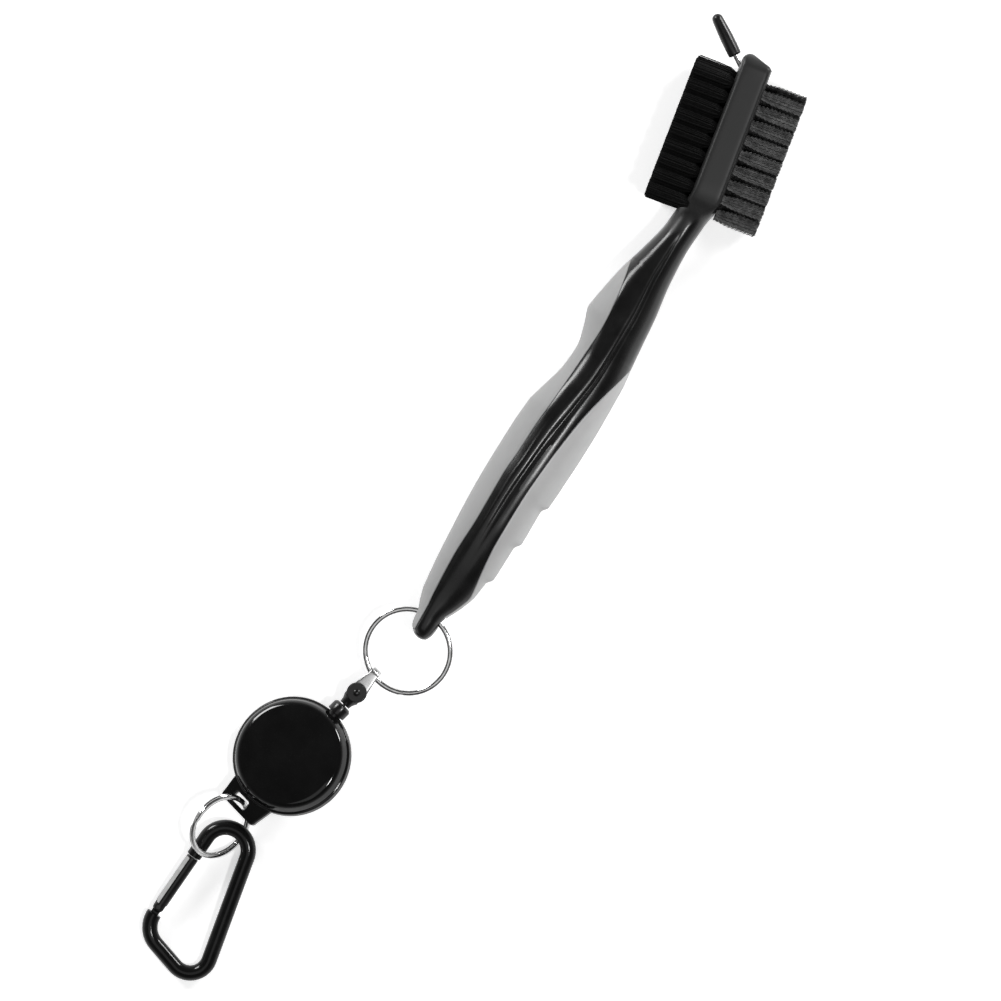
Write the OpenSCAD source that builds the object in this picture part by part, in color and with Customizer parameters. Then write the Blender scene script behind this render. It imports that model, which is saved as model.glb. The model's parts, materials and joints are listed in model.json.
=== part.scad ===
// Golf club groove brush: a two-sided brush on a moulded grip, with a folding groove pick,
// hung by a split ring from a retracting cord reel with a small snap-gate clip.
// It lies on its side edge. +Y runs up the handle, +X points to the wire bristles, +Z is up.
// Outlines are given from a layout origin beside the handle's eye, on the handle's axis.

/* [Handle] */
// Depth of the grip, edge to edge
grip_depth = 21; // [19:0.5:23]
// Diameter of the eye that takes the key ring
eye_d = 4.4; // [4.2:0.1:4.8]
// Thickness of the soft grip pads
pad_t = 1.6; // [1.2:0.1:2]

/* [Brush head] */
// Thickness of the head between the two brushes
slab_t = 8.5; // [8.3:0.1:9.5]
// Width of the head
slab_w = 21; // [20.5:0.5:24]
// Rows of tufts on each side
tuft_rows = 9; // [5:1:9]
// Tufts in each row
tuft_columns = 4; // [2:2:4]
// Distance between rows
row_pitch = 4.25; // [4.25:0.05:4.5]
// Distance between the tufts of a row
column_pitch = 5; // [4.6:0.1:5.2]
// Length of the bristles outside the head
bristle_l = 11.5; // [8:0.5:14]

/* [Groove pick] */
// Diameter of the pick's steel rod
pick_d = 1.3; // [1.1:0.1:1.4]
// Angle of the pick from the head's axis at rest
pick_angle = 47; // [40:1:50]
// Diameter of the pick's cap
cap_d = 3.4; // [3.2:0.1:4]
// Length of the pick's cap
cap_l = 12.2; // [10:0.2:14]

/* [Key ring] */
// Outer diameter of the split ring through the handle
key_ring_d = 24.2; // [23.8:0.1:25]
// Slope of the key ring down from the eye
key_ring_slope = 9; // [8:0.5:10]

/* [Reel] */
// Diameter of the reel
reel_d = 32.4; // [32:0.2:33]
// Tilt of the reel about the line of the cord
reel_tilt = 16; // [14:0.5:17]
// Diameter of the cord
cord_d = 0.9; // [0.7:0.1:1]

/* [Clip] */
// Outer diameter of the split ring on the reel's lug
clip_ring_d = 19; // [18.8:0.1:19.4]
// Diameter of the carabiner's rod
rod_d = 4.2; // [4:0.1:4.3]
// Diameter of the carabiner's gate
gate_d = 3.4; // [3.2:0.1:3.6]

/* [Hidden] */
$fn = 48;
gap = 0.05;

// Place of the layout origin in the part's own frame, and the mid plane of the brush
layout_x = 2.35;
layout_y = -32.5;
brush_z = 10.5;

// Handle outline, side on: [distance up the handle, edge]
nylon_edge = [[-4.5, -0.4], [-4, -1.5], [-2, -3.2], [2, -4], [8, -5.6], [20, -6.6], [40, -7.3],
    [58, -6.8], [66, -6.1], [72, -4.3], [78, -2.7], [84, -2.2], [90, -3.4], [95, -4.9],
    [100, -4.1], [108, -2.4], [116, 0], [124, 2], [130, 2.6], [140, 3.6], [146, 3.2]];
wire_edge = [[-4.5, 1.2], [-4, 2.2], [-2, 3.1], [2, 3.6], [8, 6.3], [12, 7.9], [17, 8.6],
    [19, 9.8], [29, 10.4], [31, 11.6], [41, 11.7], [43, 13], [50, 13.5], [58, 14], [68, 14.3],
    [80, 14.2], [86, 13.6], [92, 13.1], [100, 12.5], [112, 11.1], [120, 10.8], [128, 11.3],
    [134, 11.7], [140, 11.5], [146, 10.6]];
// Half depth of the handle as a share of the grip's half depth
half_depth = [[-4.5, 0.22], [-4, 0.34], [-2, 0.44], [2, 0.48], [8, 0.54], [20, 0.76], [34, 0.93],
    [50, 1], [66, 0.99], [80, 0.93], [96, 0.84], [112, 0.69], [124, 0.61], [132, 0.65],
    [146, 0.74]];
// Seams between the black ribbon and the two pads, where the ribbon faces up
nylon_seam = [[-3, -2], [4, -2.1], [8, -2.4], [20, -2.8], [32, -2.3], [44, -2.3], [52, -1.7],
    [60, -1.3], [68, -0.5], [80, 0.5], [92, 1.2], [100, 0.7], [106, -0.2], [111.5, -1.3]];
wire_seam = [[3.5, 3.4], [8, 5.7], [12, 6.9], [16, 6.5], [20, 6], [28, 5.5], [40, 5.7],
    [52, 6.6], [60, 7.6], [68, 8.9], [76, 10.9], [84, 13.2], [85.5, 13.5]];
squareness = 2.3;
loft_rows = [-4.5, -4, -2, 2, 5, 8, 12, 17, 19, 24, 29, 31, 36, 41, 43, 50, 58, 66, 69, 72, 78,
    84, 86, 90, 95, 100, 104, 108, 112, 116, 120, 124, 128, 132, 136, 140, 146];
loft_sides = 24;
pad_sides = 8;
eye_at = [0.4, 2.1];

// Head: a slab that leans towards the nylon side, from a point on its axis at the neck
slab_x = 7.4;
slab_y = 139;
slab_lean = 9;
slab_top = 36.6;
slab_foot = -9;
first_row = 28.4;
tuft_hole_r = 1.25;
tuft_hole_end = 0.6;
tuft_tip_r = 2.05;
anchor_t = 0.55;

// Groove pick, from its hinge pin
pick_at = [0.2, 169.6];
pick_base_l = 5.5;
pick_l = 16;
pick_swing_up = 47;
pick_swing_down = 20;
pick_pin_r = 0.75;
pick_fit = 0.05;
pick_eye_r = 2;
slot_t = pick_d + 0.6;

// Split rings
wire_r = 0.7;
turn_pitch = 0.75;
ring_segments = 36;
key_ring_turn = -4.7;
key_ring_r = key_ring_d / 2 - wire_r;

// Line of the cord, from the reel's centre to the key ring
reel_at = [-13.3, -49];
chain_turn = -15.5;
chain_z = 7.8;
rivet_at = 24.3;
rivet_r = 0.6;
bail_eye_at = [-0.26, 30.74, -0.75];
bail_t = 0.6;
bail_eye_r = 1.35;
knob_r = 2.75;
knob_h = 4.7;
neck_r = 1.75;
slot_h = 2.1;
knot_at = 21.3;
knot_r = 0.85;
guide_mouth = 12.5;

// Reel
reel_r = reel_d / 2;
face_r = reel_r - 1.5;
reel_back = -4.2;
reel_face = 4.7;
cover_t = 1.2;
rim_h = 1.6;
post_r = 1.6;
spool_fit = 0.06;
drum_r = 7.4;
flange_r = 11.6;
drum_h = 3.8;
flange_t = 0.6;
wound_r = 9.8;
guide_r = 2.7;
guide_end = 19.4;
lug_end = -20.8;
lug_t = 2.2;
lug_slot = [5, 2.8];
lug_slot_at = [-1.1, -18.1];

// Clip ring: its centre, the way its long side points, and its tilt
clip_ring_at = [-20.6, -74.8, 7.9];
clip_ring_turn = -6.5;
clip_ring_tilt = 44.5;
clip_ring_r = clip_ring_d / 2 - wire_r;

// Carabiner: centres and radii of its three bends, clockwise from the top
bends = [[-16.2, -79.7, 6.1], [-10.6, -108.6, 5.4], [-17.5, -104.7, 6.8]];
clip_low = -114;
clip_slope = 4.3;
rod_seat = 0.3;
rod_step = 0.03;
nose_l = 6.5;
gate_pin_at = 2.2;
tongue_r = 1.1;
tongue_t = 1.2;
gate_pin_r = 0.6;
gate_bore_r = 1.05;
gate_bore_l = 12.5;
slit_end = gate_pin_at + tongue_r + 0.2;

// ---- frames ----
module layout() {
    translate([layout_x, layout_y, 0]) children();
}

module brush_frame() {
    layout() translate([0, 0, brush_z]) children();
}

module slab_frame() {
    brush_frame() translate([slab_x, slab_y, 0]) rotate(slab_lean) children();
}

module pick_frame() {
    brush_frame() translate(pick_at) rotate(slab_lean + pick_angle) children();
}

module key_ring_frame() {
    brush_frame() translate(eye_at) rotate(key_ring_turn) rotate([key_ring_slope, 0, 0])
        translate([0, -key_ring_r, 0]) children();
}

module chain_frame() {
    layout() translate([reel_at.x, reel_at.y, chain_z]) rotate(chain_turn) children();
}

module reel_frame() {
    chain_frame() rotate([0, -reel_tilt, 0]) children();
}

module clip_ring_frame() {
    layout() translate(clip_ring_at) rotate(clip_ring_turn) rotate([0, clip_ring_tilt, 0])
        children();
}

module carabiner_frame() {
    layout() translate([0, clip_low, rod_d / 2 + gap]) rotate([clip_slope, 0, 0])
        translate([0, -clip_low, 0]) children();
}

// ---- handle surface ----
function corner_power(v) = sign(v) * pow(abs(v), 2 / squareness);

function section(y, angle, inset) =
    let (low = lookup(y, nylon_edge), high = lookup(y, wire_edge))
    let (half = (high - low) / 2 - inset, deep = lookup(y, half_depth) * grip_depth / 2 - inset)
    [(low + high) / 2 + half * corner_power(cos(angle)), y, deep * corner_power(sin(angle))];

// Angle at which the surface crosses the plane x, on the side that faces up
function seam_angle(y, x) =
    let (low = lookup(y, nylon_edge), high = lookup(y, wire_edge))
    let (share = (2 * x - low - high) / (high - low))
    acos(sign(share) * pow(min(abs(share), 1), squareness / 2));

function ring_quads(rows, sides) = [
    for (i = [0:rows - 2]) for (j = [0:sides - 1])
        let (a = i * sides + j, b = i * sides + (j + 1) % sides)
        each [[a, b, b + sides], [a, b + sides, a + sides]]
];

// Closed surface through rows of points, each row a loop of the same number of points
module skin(rows) {
    count = len(rows);
    sides = len(rows[0]);
    ends = [[for (j = [sides - 1:-1:0]) j], [for (j = [0:sides - 1]) (count - 1) * sides + j]];
    polyhedron([for (row = rows) each row], concat(ring_quads(count, sides), ends), convexity = 8);
}

module handle_loft() {
    skin([for (y = loft_rows) [for (j = [0:loft_sides - 1]) section(y, 360 * j / loft_sides, 0)]]);
}

// Band of the handle's surface between two angles, from one depth to another
module surface_band(seam, from_seam, inner, outer) {
    low = seam[0][0];
    high = seam[len(seam) - 1][0];
    rows = concat([low], [for (y = loft_rows) if (y > low + 0.4 && y < high - 0.4) y], [high]);
    skin([
        for (y = rows)
            let (a = seam_angle(y, lookup(y, seam)))
            let (half = from_seam ? 180 - a : a, middle = from_seam ? 180 : 0)
            concat(
                [for (j = [0:pad_sides]) section(y, middle + half * (2 * j / pad_sides - 1), outer)],
                [for (j = [pad_sides:-1:0])
                    section(y, middle + half * (2 * j / pad_sides - 1), inner)]
            )
    ]);
}

// ---- shared pieces ----
// Two turns of wire lying side by side, swept round the ring
module split_ring(radius, segments) {
    steps = 2 * segments;
    skin([
        for (i = [0:steps - 1])
            let (turn = 720 * i / steps + 2)
            let (rise = turn_pitch * (min(max((turn - 300) / 120, 0), 1) - 0.5))
            [
                for (k = [0:7])
                    let (across = wire_r * cos(45 * k + 22.5) * 1.06)
                    let (up = turn_pitch / 2.2 * sin(45 * k + 22.5) * 1.06 + rise)
                    [(radius + across) * cos(turn), (radius + across) * sin(turn), up]
            ]
    ]);
}

module along_x(length) {
    rotate([0, 90, 0]) linear_extrude(length, center = true) children();
}

// Every other column is set back by half the pitch, so that no gap runs right through
module tuft_places(rows) {
    for (i = rows) for (j = [0:tuft_columns - 1])
        translate([0, first_row - row_pitch * (i + (j % 2 - 0.5) / 2),
            column_pitch * (j - (tuft_columns - 1) / 2)]) children();
}

module tuft_rows_of(side, rows) {
    slab_frame() tuft_places(rows) rotate([0, 90 * side, 0]) {
        translate([0, 0, tuft_hole_end + anchor_t + gap])
            cylinder(r = tuft_hole_r - gap, h = slab_t / 2 - tuft_hole_end - anchor_t - gap);
        translate([0, 0, slab_t / 2])
            cylinder(r1 = tuft_hole_r - gap, r2 = tuft_tip_r, h = bristle_l);
    }
}

end_rows = [0, tuft_rows - 1];
middle_rows = [1:tuft_rows - 2];

// ---- handle and head ----
module slab_side() {
    translate([-slab_t / 2, slab_foot]) square([slab_t, slab_top - slab_foot - 3]);
    translate([-slab_t / 2 + 2.2, slab_top - 2.2]) circle(2.2);
    translate([slab_t / 2 - 0.8, slab_top - 2.6]) circle(0.8);
    polygon([[-slab_t / 2, slab_top - 4], [-slab_t / 2, slab_top - 2.2], [-2, slab_top - 0.01],
        [slab_t / 2 - 0.6, slab_top - 1.83], [slab_t / 2, slab_top - 2.6],
        [slab_t / 2, slab_top - 4]]);
}

// The head seen square on, with its top corners rounded and its foot drawn in to the neck
module slab_front() {
    half = slab_w / 2;
    corner = 4;
    waist = slab_foot + 8;
    translate([-half, waist]) square([slab_w, slab_top - corner - waist]);
    translate([corner - half, waist]) square([slab_w - 2 * corner, slab_top - waist]);
    for (side = [-1, 1]) translate([side * (half - corner), slab_top - corner]) circle(corner);
    polygon([[-half, waist + 0.1], [-half, waist], [-half + 0.8, slab_foot + 3.5],
        [-half + 3.6, slab_foot], [half - 3.6, slab_foot], [half - 0.8, slab_foot + 3.5],
        [half, waist], [half, waist + 0.1]]);
}

module slab() {
    slab_frame() intersection() {
        linear_extrude(slab_w + 2, center = true) slab_side();
        rotate([0, 90, 0]) linear_extrude(slab_t + 2, center = true) slab_front();
    }
}

module pick_slot() {
    brush_frame() translate([pick_at.x, pick_at.y, -slot_t / 2]) linear_extrude(slot_t) {
        circle(pick_eye_r + 0.5);
        rotate(slab_lean + pick_angle) {
            for (a = [-pick_swing_up, pick_swing_down])
                rotate(a + 90) translate([0, -slot_t / 2]) square([14, slot_t]);
            polygon([[0, 0], 14 * [sin(pick_swing_up), cos(pick_swing_up)],
                14 * [0, 1.2], 14 * [-sin(pick_swing_down), cos(pick_swing_down)]]);
        }
    }
}

module handle_body() {
    color("#1c1c1e") difference() {
        union() {
            brush_frame() handle_loft();
            slab();
        }
        brush_frame() surface_band(nylon_seam, true, pad_t + gap, -2);
        brush_frame() surface_band(wire_seam, false, pad_t + gap, -2);
        brush_frame() translate([0, eye_at.y, 0]) rotate([0, 90, 0])
            cylinder(d = eye_d, h = 40, center = true);
        slab_frame() for (side = [-1, 1]) tuft_places([0:tuft_rows - 1]) rotate([0, 90 * side, 0])
            translate([0, 0, tuft_hole_end]) cylinder(r = tuft_hole_r, h = 12, $fn = 16);
        pick_slot();
        brush_frame() translate([pick_at.x, pick_at.y, -slab_w])
            cylinder(r = pick_pin_r, h = slab_w + 5);
    }
}

module grip_pad(seam, on_nylon_side) {
    brush_frame() difference() {
        surface_band(seam, on_nylon_side, pad_t, 0);
        translate([0, eye_at.y, 0]) rotate([0, 90, 0]) cylinder(d = eye_d, h = 40, center = true);
    }
}

module grip_pad_nylon_side() {
    color("#a8a8a8") grip_pad(nylon_seam, true);
}

module grip_pad_wire_side() {
    color("#bebebe") grip_pad(wire_seam, false);
}

// ---- bristles ----
module nylon_rows_end() {
    color("#161617") tuft_rows_of(-1, end_rows);
}

module nylon_rows_middle() {
    color("#161617") tuft_rows_of(-1, middle_rows);
}

module wire_rows_end() {
    color("#5a5a5c") tuft_rows_of(1, end_rows);
}

module wire_rows_middle() {
    color("#5a5a5c") tuft_rows_of(1, middle_rows);
}

module tuft_anchors() {
    color("#b8b4a8") slab_frame() for (side = [-1, 1]) tuft_places([0:tuft_rows - 1])
        translate([side * (tuft_hole_end + anchor_t / 2), 0, 0])
            cube([anchor_t - gap, 0.5, 2 * tuft_hole_r - 4 * gap], center = true);
}

// ---- groove pick ----
module groove_pick() {
    color("#c8c8ca") pick_frame() difference() {
        union() {
            cylinder(r = pick_eye_r, h = pick_d, center = true);
            rotate([-90, 0, 0]) cylinder(d = pick_d, h = pick_l - 4);
            translate([0, pick_l - 4, 0]) rotate([-90, 0, 0]) cylinder(d1 = pick_d, d2 = 0.2, h = 4);
        }
        cylinder(r = pick_pin_r + pick_fit, h = 4, center = true);
    }
}

module pick_hinge_pin() {
    color("#9a9a9c") brush_frame() translate([pick_at.x, pick_at.y, -slab_w / 2 + 0.4])
        cylinder(r = pick_pin_r, h = slab_w / 2 + 4.4);
}

module pick_cap() {
    end_r = 1.6;
    color("#202022") pick_frame() translate([0, pick_base_l, 0]) rotate([-90, 0, 0]) difference() {
        rotate_extrude() {
            polygon([[0, 0], [cap_d / 2 - 0.3, 0], [cap_d / 2, 0.3], [end_r, cap_l - end_r],
                [0, cap_l - end_r]]);
            intersection() {
                translate([0, cap_l - end_r]) circle(end_r);
                square([end_r, cap_l]);
            }
        }
        translate([0, 0, -1]) cylinder(d = pick_d + 0.1, h = pick_l - pick_base_l + 1.4);
    }
}

// ---- key ring, bail and cord end ----
module key_ring() {
    color("#d0d0d2") key_ring_frame() rotate(-60) split_ring(key_ring_r, ring_segments);
}

// Strap folded round the key ring, its two legs pinched together at the rivet
module bail() {
    eye = bail_eye_at;
    outer_r = bail_eye_r + bail_t;
    leg_z = 0.25;
    color("#d4d4d6") chain_frame() intersection() {
        difference() {
            along_x(20) {
                translate([-eye.z, eye.y]) circle(outer_r);
                polygon([[-eye.z - outer_r, eye.y], [-leg_z - bail_t, rivet_at + 3.4],
                    [-leg_z - bail_t, rivet_at - 2], [leg_z + bail_t, rivet_at - 2],
                    [leg_z + bail_t, rivet_at + 3.4], [-eye.z + outer_r, eye.y]]);
            }
            along_x(22) {
                translate([-eye.z, eye.y]) circle(bail_eye_r);
                polygon([[-eye.z - bail_eye_r, eye.y], [-leg_z, rivet_at + 3.2],
                    [-leg_z, rivet_at - 3], [leg_z, rivet_at - 3],
                    [leg_z, rivet_at + 3.2], [-eye.z + bail_eye_r, eye.y]]);
            }
            translate([0, rivet_at, 0]) cylinder(r = rivet_r + 0.05, h = 9, center = true);
        }
        linear_extrude(12, center = true) {
            translate([0, rivet_at]) circle(1.9);
            polygon([[-1.9, rivet_at], [1.9, rivet_at], [2.8, rivet_at + 2.4],
                [eye.x + 1.3, eye.y - 0.6], [eye.x + 1.3, eye.y + 3], [eye.x - 1.3, eye.y + 3],
                [eye.x - 1.3, eye.y - 0.6], [-2.8, rivet_at + 2.4]]);
        }
    }
}

module bail_rivet() {
    color("#8c8c8e") chain_frame() translate([0, rivet_at, 0]) {
        cylinder(r = rivet_r, h = knob_h - 0.2, center = true);
        for (side = [-1, 1]) translate([0, 0, side * (knob_h / 2 - 0.1)]) intersection() {
            translate([0, 0, -side * 0.9]) sphere(1.4);
            cylinder(r = 1.3, h = 1, center = true);
        }
    }
}

module cord_end() {
    slot_foot = rivet_at - 2.2;
    color("#1e1e20") chain_frame() difference() {
        union() {
            translate([0, guide_end + 0.3, 0]) rotate([-90, 0, 0]) {
                cylinder(r1 = neck_r - 0.2, r2 = neck_r, h = 1.2);
                translate([0, 0, 1.2]) cylinder(r1 = neck_r, r2 = knob_r - 0.4, h = 1.2);
            }
            intersection() {
                linear_extrude(knob_h, center = true) {
                    translate([0, rivet_at]) circle(knob_r);
                    translate([-knob_r + 0.5, rivet_at - 2.4]) square([2 * knob_r - 1, 2.4]);
                }
                translate([0, rivet_at, 0]) sphere(3.4);
            }
        }
        translate([-5, slot_foot, -slot_h / 2]) cube([10, 9, slot_h]);
        translate([0, rivet_at, 0]) cylinder(r = rivet_r, h = 9, center = true);
        translate([0, guide_end, 0]) rotate([-90, 0, 0]) cylinder(r = cord_d / 2 + 0.12, h = 4);
        translate([0, knot_at - knot_r, 0]) rotate([-90, 0, 0]) cylinder(r = knot_r + 0.1, h = 3);
    }
}

module cord_knot() {
    color("#2a2a2c") chain_frame() translate([0, knot_at, 0]) sphere(knot_r);
}

// ---- cord and reel ----
// Cord from the spool round into the guide, and straight on to the knot
module cord_lead() {
    lead_r = wound_r + cord_d / 2 + gap;
    lift = acos(lead_r / guide_mouth);
    start = lead_r * [sin(lift), cos(lift)];
    mouth = [0, guide_mouth];
    route = [start, mouth + 0.08 * (start - mouth), mouth + [0, 0.6], [0, guide_end],
        [0, knot_at - knot_r - gap]];
    last = len(route) - 1;
    color("#2a2a2c") reel_frame() skin([
        for (i = [0:last])
            let (step = route[min(i + 1, last)] - route[max(i - 1, 0)])
            let (side = [step.y, -step.x] / norm(step) * cord_d / 2)
            [
                for (k = [0:7])
                    let (across = side * cos(45 * k))
                    [route[i].x + across.x, route[i].y + across.y, cord_d / 2 * sin(45 * k)]
            ]
    ]);
}

module cord_guide() {
    color("#1e1e20") reel_frame() rotate([-90, 0, 0]) rotate_extrude() {
        polygon([[cord_d / 2 + 0.3, 12.9], [2.6, 12.9], [2.6, 13.5], [1.9, 13.5],
            [1.9, reel_r + 0.1], [guide_r, reel_r + 0.1], [guide_r, guide_end - 0.6],
            [guide_r - 0.6, guide_end], [cord_d / 2 + 0.6, guide_end], [cord_d / 2 + 0.3, 18.8]]);
    }
}

module guide_hole() {
    translate([0, 11, 0]) rotate([-90, 0, 0]) cylinder(r = 1.95, h = 8);
}

module reel_front_cover() {
    color("#141415") reel_frame() difference() {
        union() {
            rotate_extrude() {
                difference() {
                    polygon([[0, gap / 2], [reel_r, gap / 2], [reel_r, rim_h - 0.5],
                        [reel_r - 0.5, rim_h], [face_r, rim_h], [face_r, reel_face - 2.4],
                        [face_r - 0.7, reel_face - 0.9], [face_r - 2.4, reel_face - 0.3],
                        [face_r - 7, reel_face], [0, reel_face + 0.2]]);
                    polygon([[0, -1], [face_r - cover_t, -1], [face_r - cover_t, reel_face - 2.7],
                        [face_r - 2.6, reel_face - 1.5], [0, reel_face - cover_t]]);
                }
            }
            translate([0, 0, reel_back + cover_t + 0.05])
                cylinder(r = post_r, h = reel_face - reel_back - 2 * cover_t);
        }
        guide_hole();
        translate([0, 0, reel_back]) cylinder(r = 0.5, h = 5);
    }
}

module lug_outline() {
    translate([0, lug_end + 1.2]) for (side = [-1, 1]) translate([side * 5.1, 0]) circle(1.2);
    polygon([[-5.1, lug_end], [5.1, lug_end], [6.3, lug_end + 1.2], [7.2, lug_end + 6.5],
        [-7.2, lug_end + 6.5], [-6.3, lug_end + 1.2]]);
}

module reel_back_cover() {
    color("#141415") reel_frame() difference() {
        union() {
            rotate_extrude() polygon([[0, reel_back], [face_r - 2, reel_back],
                [face_r - 0.6, reel_back + 0.6], [face_r, reel_back + 2], [face_r, -rim_h],
                [reel_r - 0.5, -rim_h], [reel_r, -rim_h + 0.5], [reel_r, -gap / 2],
                [0, -gap / 2]]);
            difference() {
                translate([0, 0, -lug_t / 2]) linear_extrude(lug_t) lug_outline();
                translate([0, 0, -gap / 2]) cylinder(r = reel_r + 0.1, h = 9);
            }
        }
        translate([0, 0, reel_back + cover_t]) cylinder(r = face_r - cover_t, h = 20);
        guide_hole();
        translate([lug_slot_at.x, lug_slot_at.y, 0]) cube([lug_slot.x, lug_slot.y, 9], center = true);
        translate([0, 0, reel_back - 1]) cylinder(r = 0.8, h = 4);
        translate([0, 0, reel_back - 1]) cylinder(r = 1.6, h = 1.7);
    }
}

module reel_screw() {
    color("#a0a0a2") reel_frame() difference() {
        translate([0, 0, reel_back + 0.05]) {
            cylinder(r = 1.5, h = 0.6);
            cylinder(r = 0.5, h = 4.6);
        }
        for (a = [0, 90]) rotate(a) translate([0, 0, reel_back])
            cube([1.6, 0.35, 0.8], center = true);
    }
}

module spool() {
    flange_z = drum_h / 2;
    color("#e0e0dc") reel_frame() difference() {
        union() {
            cylinder(r = drum_r, h = drum_h, center = true);
            for (z = [-flange_z - flange_t, flange_z])
                translate([0, 0, z]) cylinder(r = flange_r, h = flange_t);
        }
        translate([0, 0, -flange_z + 0.1]) cylinder(r = drum_r - 0.8, h = 9);
        cylinder(r = post_r + spool_fit, h = 20, center = true);
    }
}

module wound_cord() {
    color("#2a2a2c") reel_frame() rotate_extrude() translate([drum_r + gap, -drum_h / 2 + gap])
        square([wound_r - drum_r - gap, drum_h - 2 * gap]);
}

module clock_spring() {
    turns = 6;
    steps = 20 * turns;
    strip = 0.2;
    start_r = post_r + 0.25;
    end_r = drum_r - 1.1;
    function spiral(i, side) =
        let (r = start_r + (end_r - start_r) * i / steps + side * strip / 2)
        r * [cos(18 * i), sin(18 * i)];
    color("#8c8c90") reel_frame() translate([0, 0, -drum_h / 2 + 0.3]) linear_extrude(drum_h - 0.7)
        polygon(concat([for (i = [0:steps]) spiral(i, 1)], [for (i = [steps:-1:0]) spiral(i, -1)]));
}

// ---- clip ring and carabiner ----
module clip_ring() {
    color("#d0d0d2") clip_ring_frame() rotate(200) split_ring(clip_ring_r, ring_segments);
}

// Outward normal of the straight run from one bend to the next, going clockwise
function run_normal(a, b) =
    atan2(b.y - a.y, b.x - a.x) + acos((a.z - b.z) / norm([b.x - a.x, b.y - a.y]));

function on_bend(bend, angle) = [bend.x, bend.y] + bend.z * [cos(angle), sin(angle)];

normal_right = run_normal(bends[0], bends[1]);
normal_low = run_normal(bends[1], bends[2]);
normal_gate = run_normal(bends[2], bends[0]);
gate_foot = on_bend(bends[2], normal_gate);
gate_head = on_bend(bends[0], normal_gate);
gate_run = norm(gate_head - gate_foot);
gate_l = gate_run - nose_l;

// Straight run, a hair thinner than the bends and let into them
module rod_between(a, b) {
    step = b - a;
    translate([a.x, a.y, 0]) rotate(atan2(step.y, step.x)) translate([-rod_seat, 0, 0])
        rotate([0, 90, 0]) cylinder(d = rod_d - rod_step, h = norm(step) + 2 * rod_seat);
}

module rod_bend(bend, from_angle, to_angle) {
    sweep = (from_angle - to_angle + 720) % 360;
    translate([bend.x, bend.y, 0]) rotate(from_angle - sweep)
        rotate_extrude(angle = sweep) translate([bend.z, 0]) circle(d = rod_d);
}

module carabiner_body() {
    color("#161618") carabiner_frame() {
        difference() {
            union() {
                rod_bend(bends[0], normal_gate, normal_right);
                rod_between(on_bend(bends[0], normal_right), on_bend(bends[1], normal_right));
                rod_bend(bends[1], normal_right, normal_low);
                rod_between(on_bend(bends[1], normal_low), on_bend(bends[2], normal_low));
                rod_bend(bends[2], normal_low, normal_gate);
                along_gate(gate_run - nose_l + 0.2, gate_run + rod_seat, rod_d - rod_step);
                gate_frame() linear_extrude(tongue_t, center = true) {
                    translate([-tongue_r, -rod_seat]) square([2 * tongue_r, gate_pin_at + rod_seat]);
                    translate([0, gate_pin_at]) circle(tongue_r);
                }
            }
            gate_frame() translate([0, gate_pin_at, 0])
                cylinder(r = gate_pin_r + 0.05, h = 9, center = true);
        }
    }
}

// Frame on the gate's line: +Y runs up the gate from the foot of its straight run
module gate_frame() {
    translate([gate_foot.x, gate_foot.y, 0]) rotate(normal_gate - 180) children();
}

module along_gate(from_y, to_y, d) {
    gate_frame() translate([0, from_y, 0]) rotate([-90, 0, 0]) cylinder(d = d, h = to_y - from_y);
}

module carabiner_gate() {
    color("#2a2a2c") carabiner_frame() difference() {
        union() {
            along_gate(gate_pin_at, gate_l, gate_d);
            gate_frame() translate([0, gate_pin_at, 0]) sphere(d = gate_d - 0.01);
        }
        gate_frame() translate([-3, 0, -tongue_t / 2 - 0.15])
            cube([6, slit_end, tongue_t + 0.3]);
        along_gate(gate_pin_at, gate_bore_l, 2 * gate_bore_r);
        gate_frame() translate([0, gate_pin_at, 0]) cylinder(r = gate_pin_r, h = 9, center = true);
    }
}

module gate_pivot_pin() {
    color("#b4b4b6") carabiner_frame() gate_frame() translate([0, gate_pin_at, 0])
        cylinder(r = gate_pin_r, h = gate_d - 0.4, center = true);
}

module gate_plunger() {
    color("#9a9a9c") carabiner_frame() {
        along_gate(slit_end, slit_end + 2, 2 * gate_bore_r - 0.1);
        along_gate(slit_end - 0.15, slit_end, 1);
    }
}

module gate_spring() {
    turns = 5;
    steps = 12 * turns;
    coil_r = gate_bore_r - 0.25;
    wire = 0.15;
    bottom = slit_end + 2 + wire + gap;
    length = gate_bore_l - bottom - wire - gap;
    color("#9a9a9c") carabiner_frame() gate_frame() skin([
        for (i = [0:steps])
            [
                for (k = [0:5])
                    let (r = coil_r + wire * cos(60 * k), turn = -30 * i)
                    [r * cos(turn), bottom + length * i / steps + wire * sin(60 * k), r * sin(turn)]
            ]
    ]);
}

handle_body();
grip_pad_nylon_side();
grip_pad_wire_side();
nylon_rows_end();
nylon_rows_middle();
wire_rows_end();
wire_rows_middle();
tuft_anchors();
groove_pick();
pick_hinge_pin();
pick_cap();
key_ring();
bail();
bail_rivet();
cord_end();
cord_knot();
cord_lead();
cord_guide();
reel_front_cover();
reel_back_cover();
reel_screw();
spool();
wound_cord();
clock_spring();
clip_ring();
carabiner_body();
carabiner_gate();
gate_pivot_pin();
gate_spring();
gate_plunger();
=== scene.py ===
"""Looks of a golf club groove brush on a retracting cord reel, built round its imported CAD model.

Lengths are in millimetres in the part's row frame until piece() turns them into metres."""
import json
import math
import random

import bmesh
import bpy
from mathutils import Matrix, Vector


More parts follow.
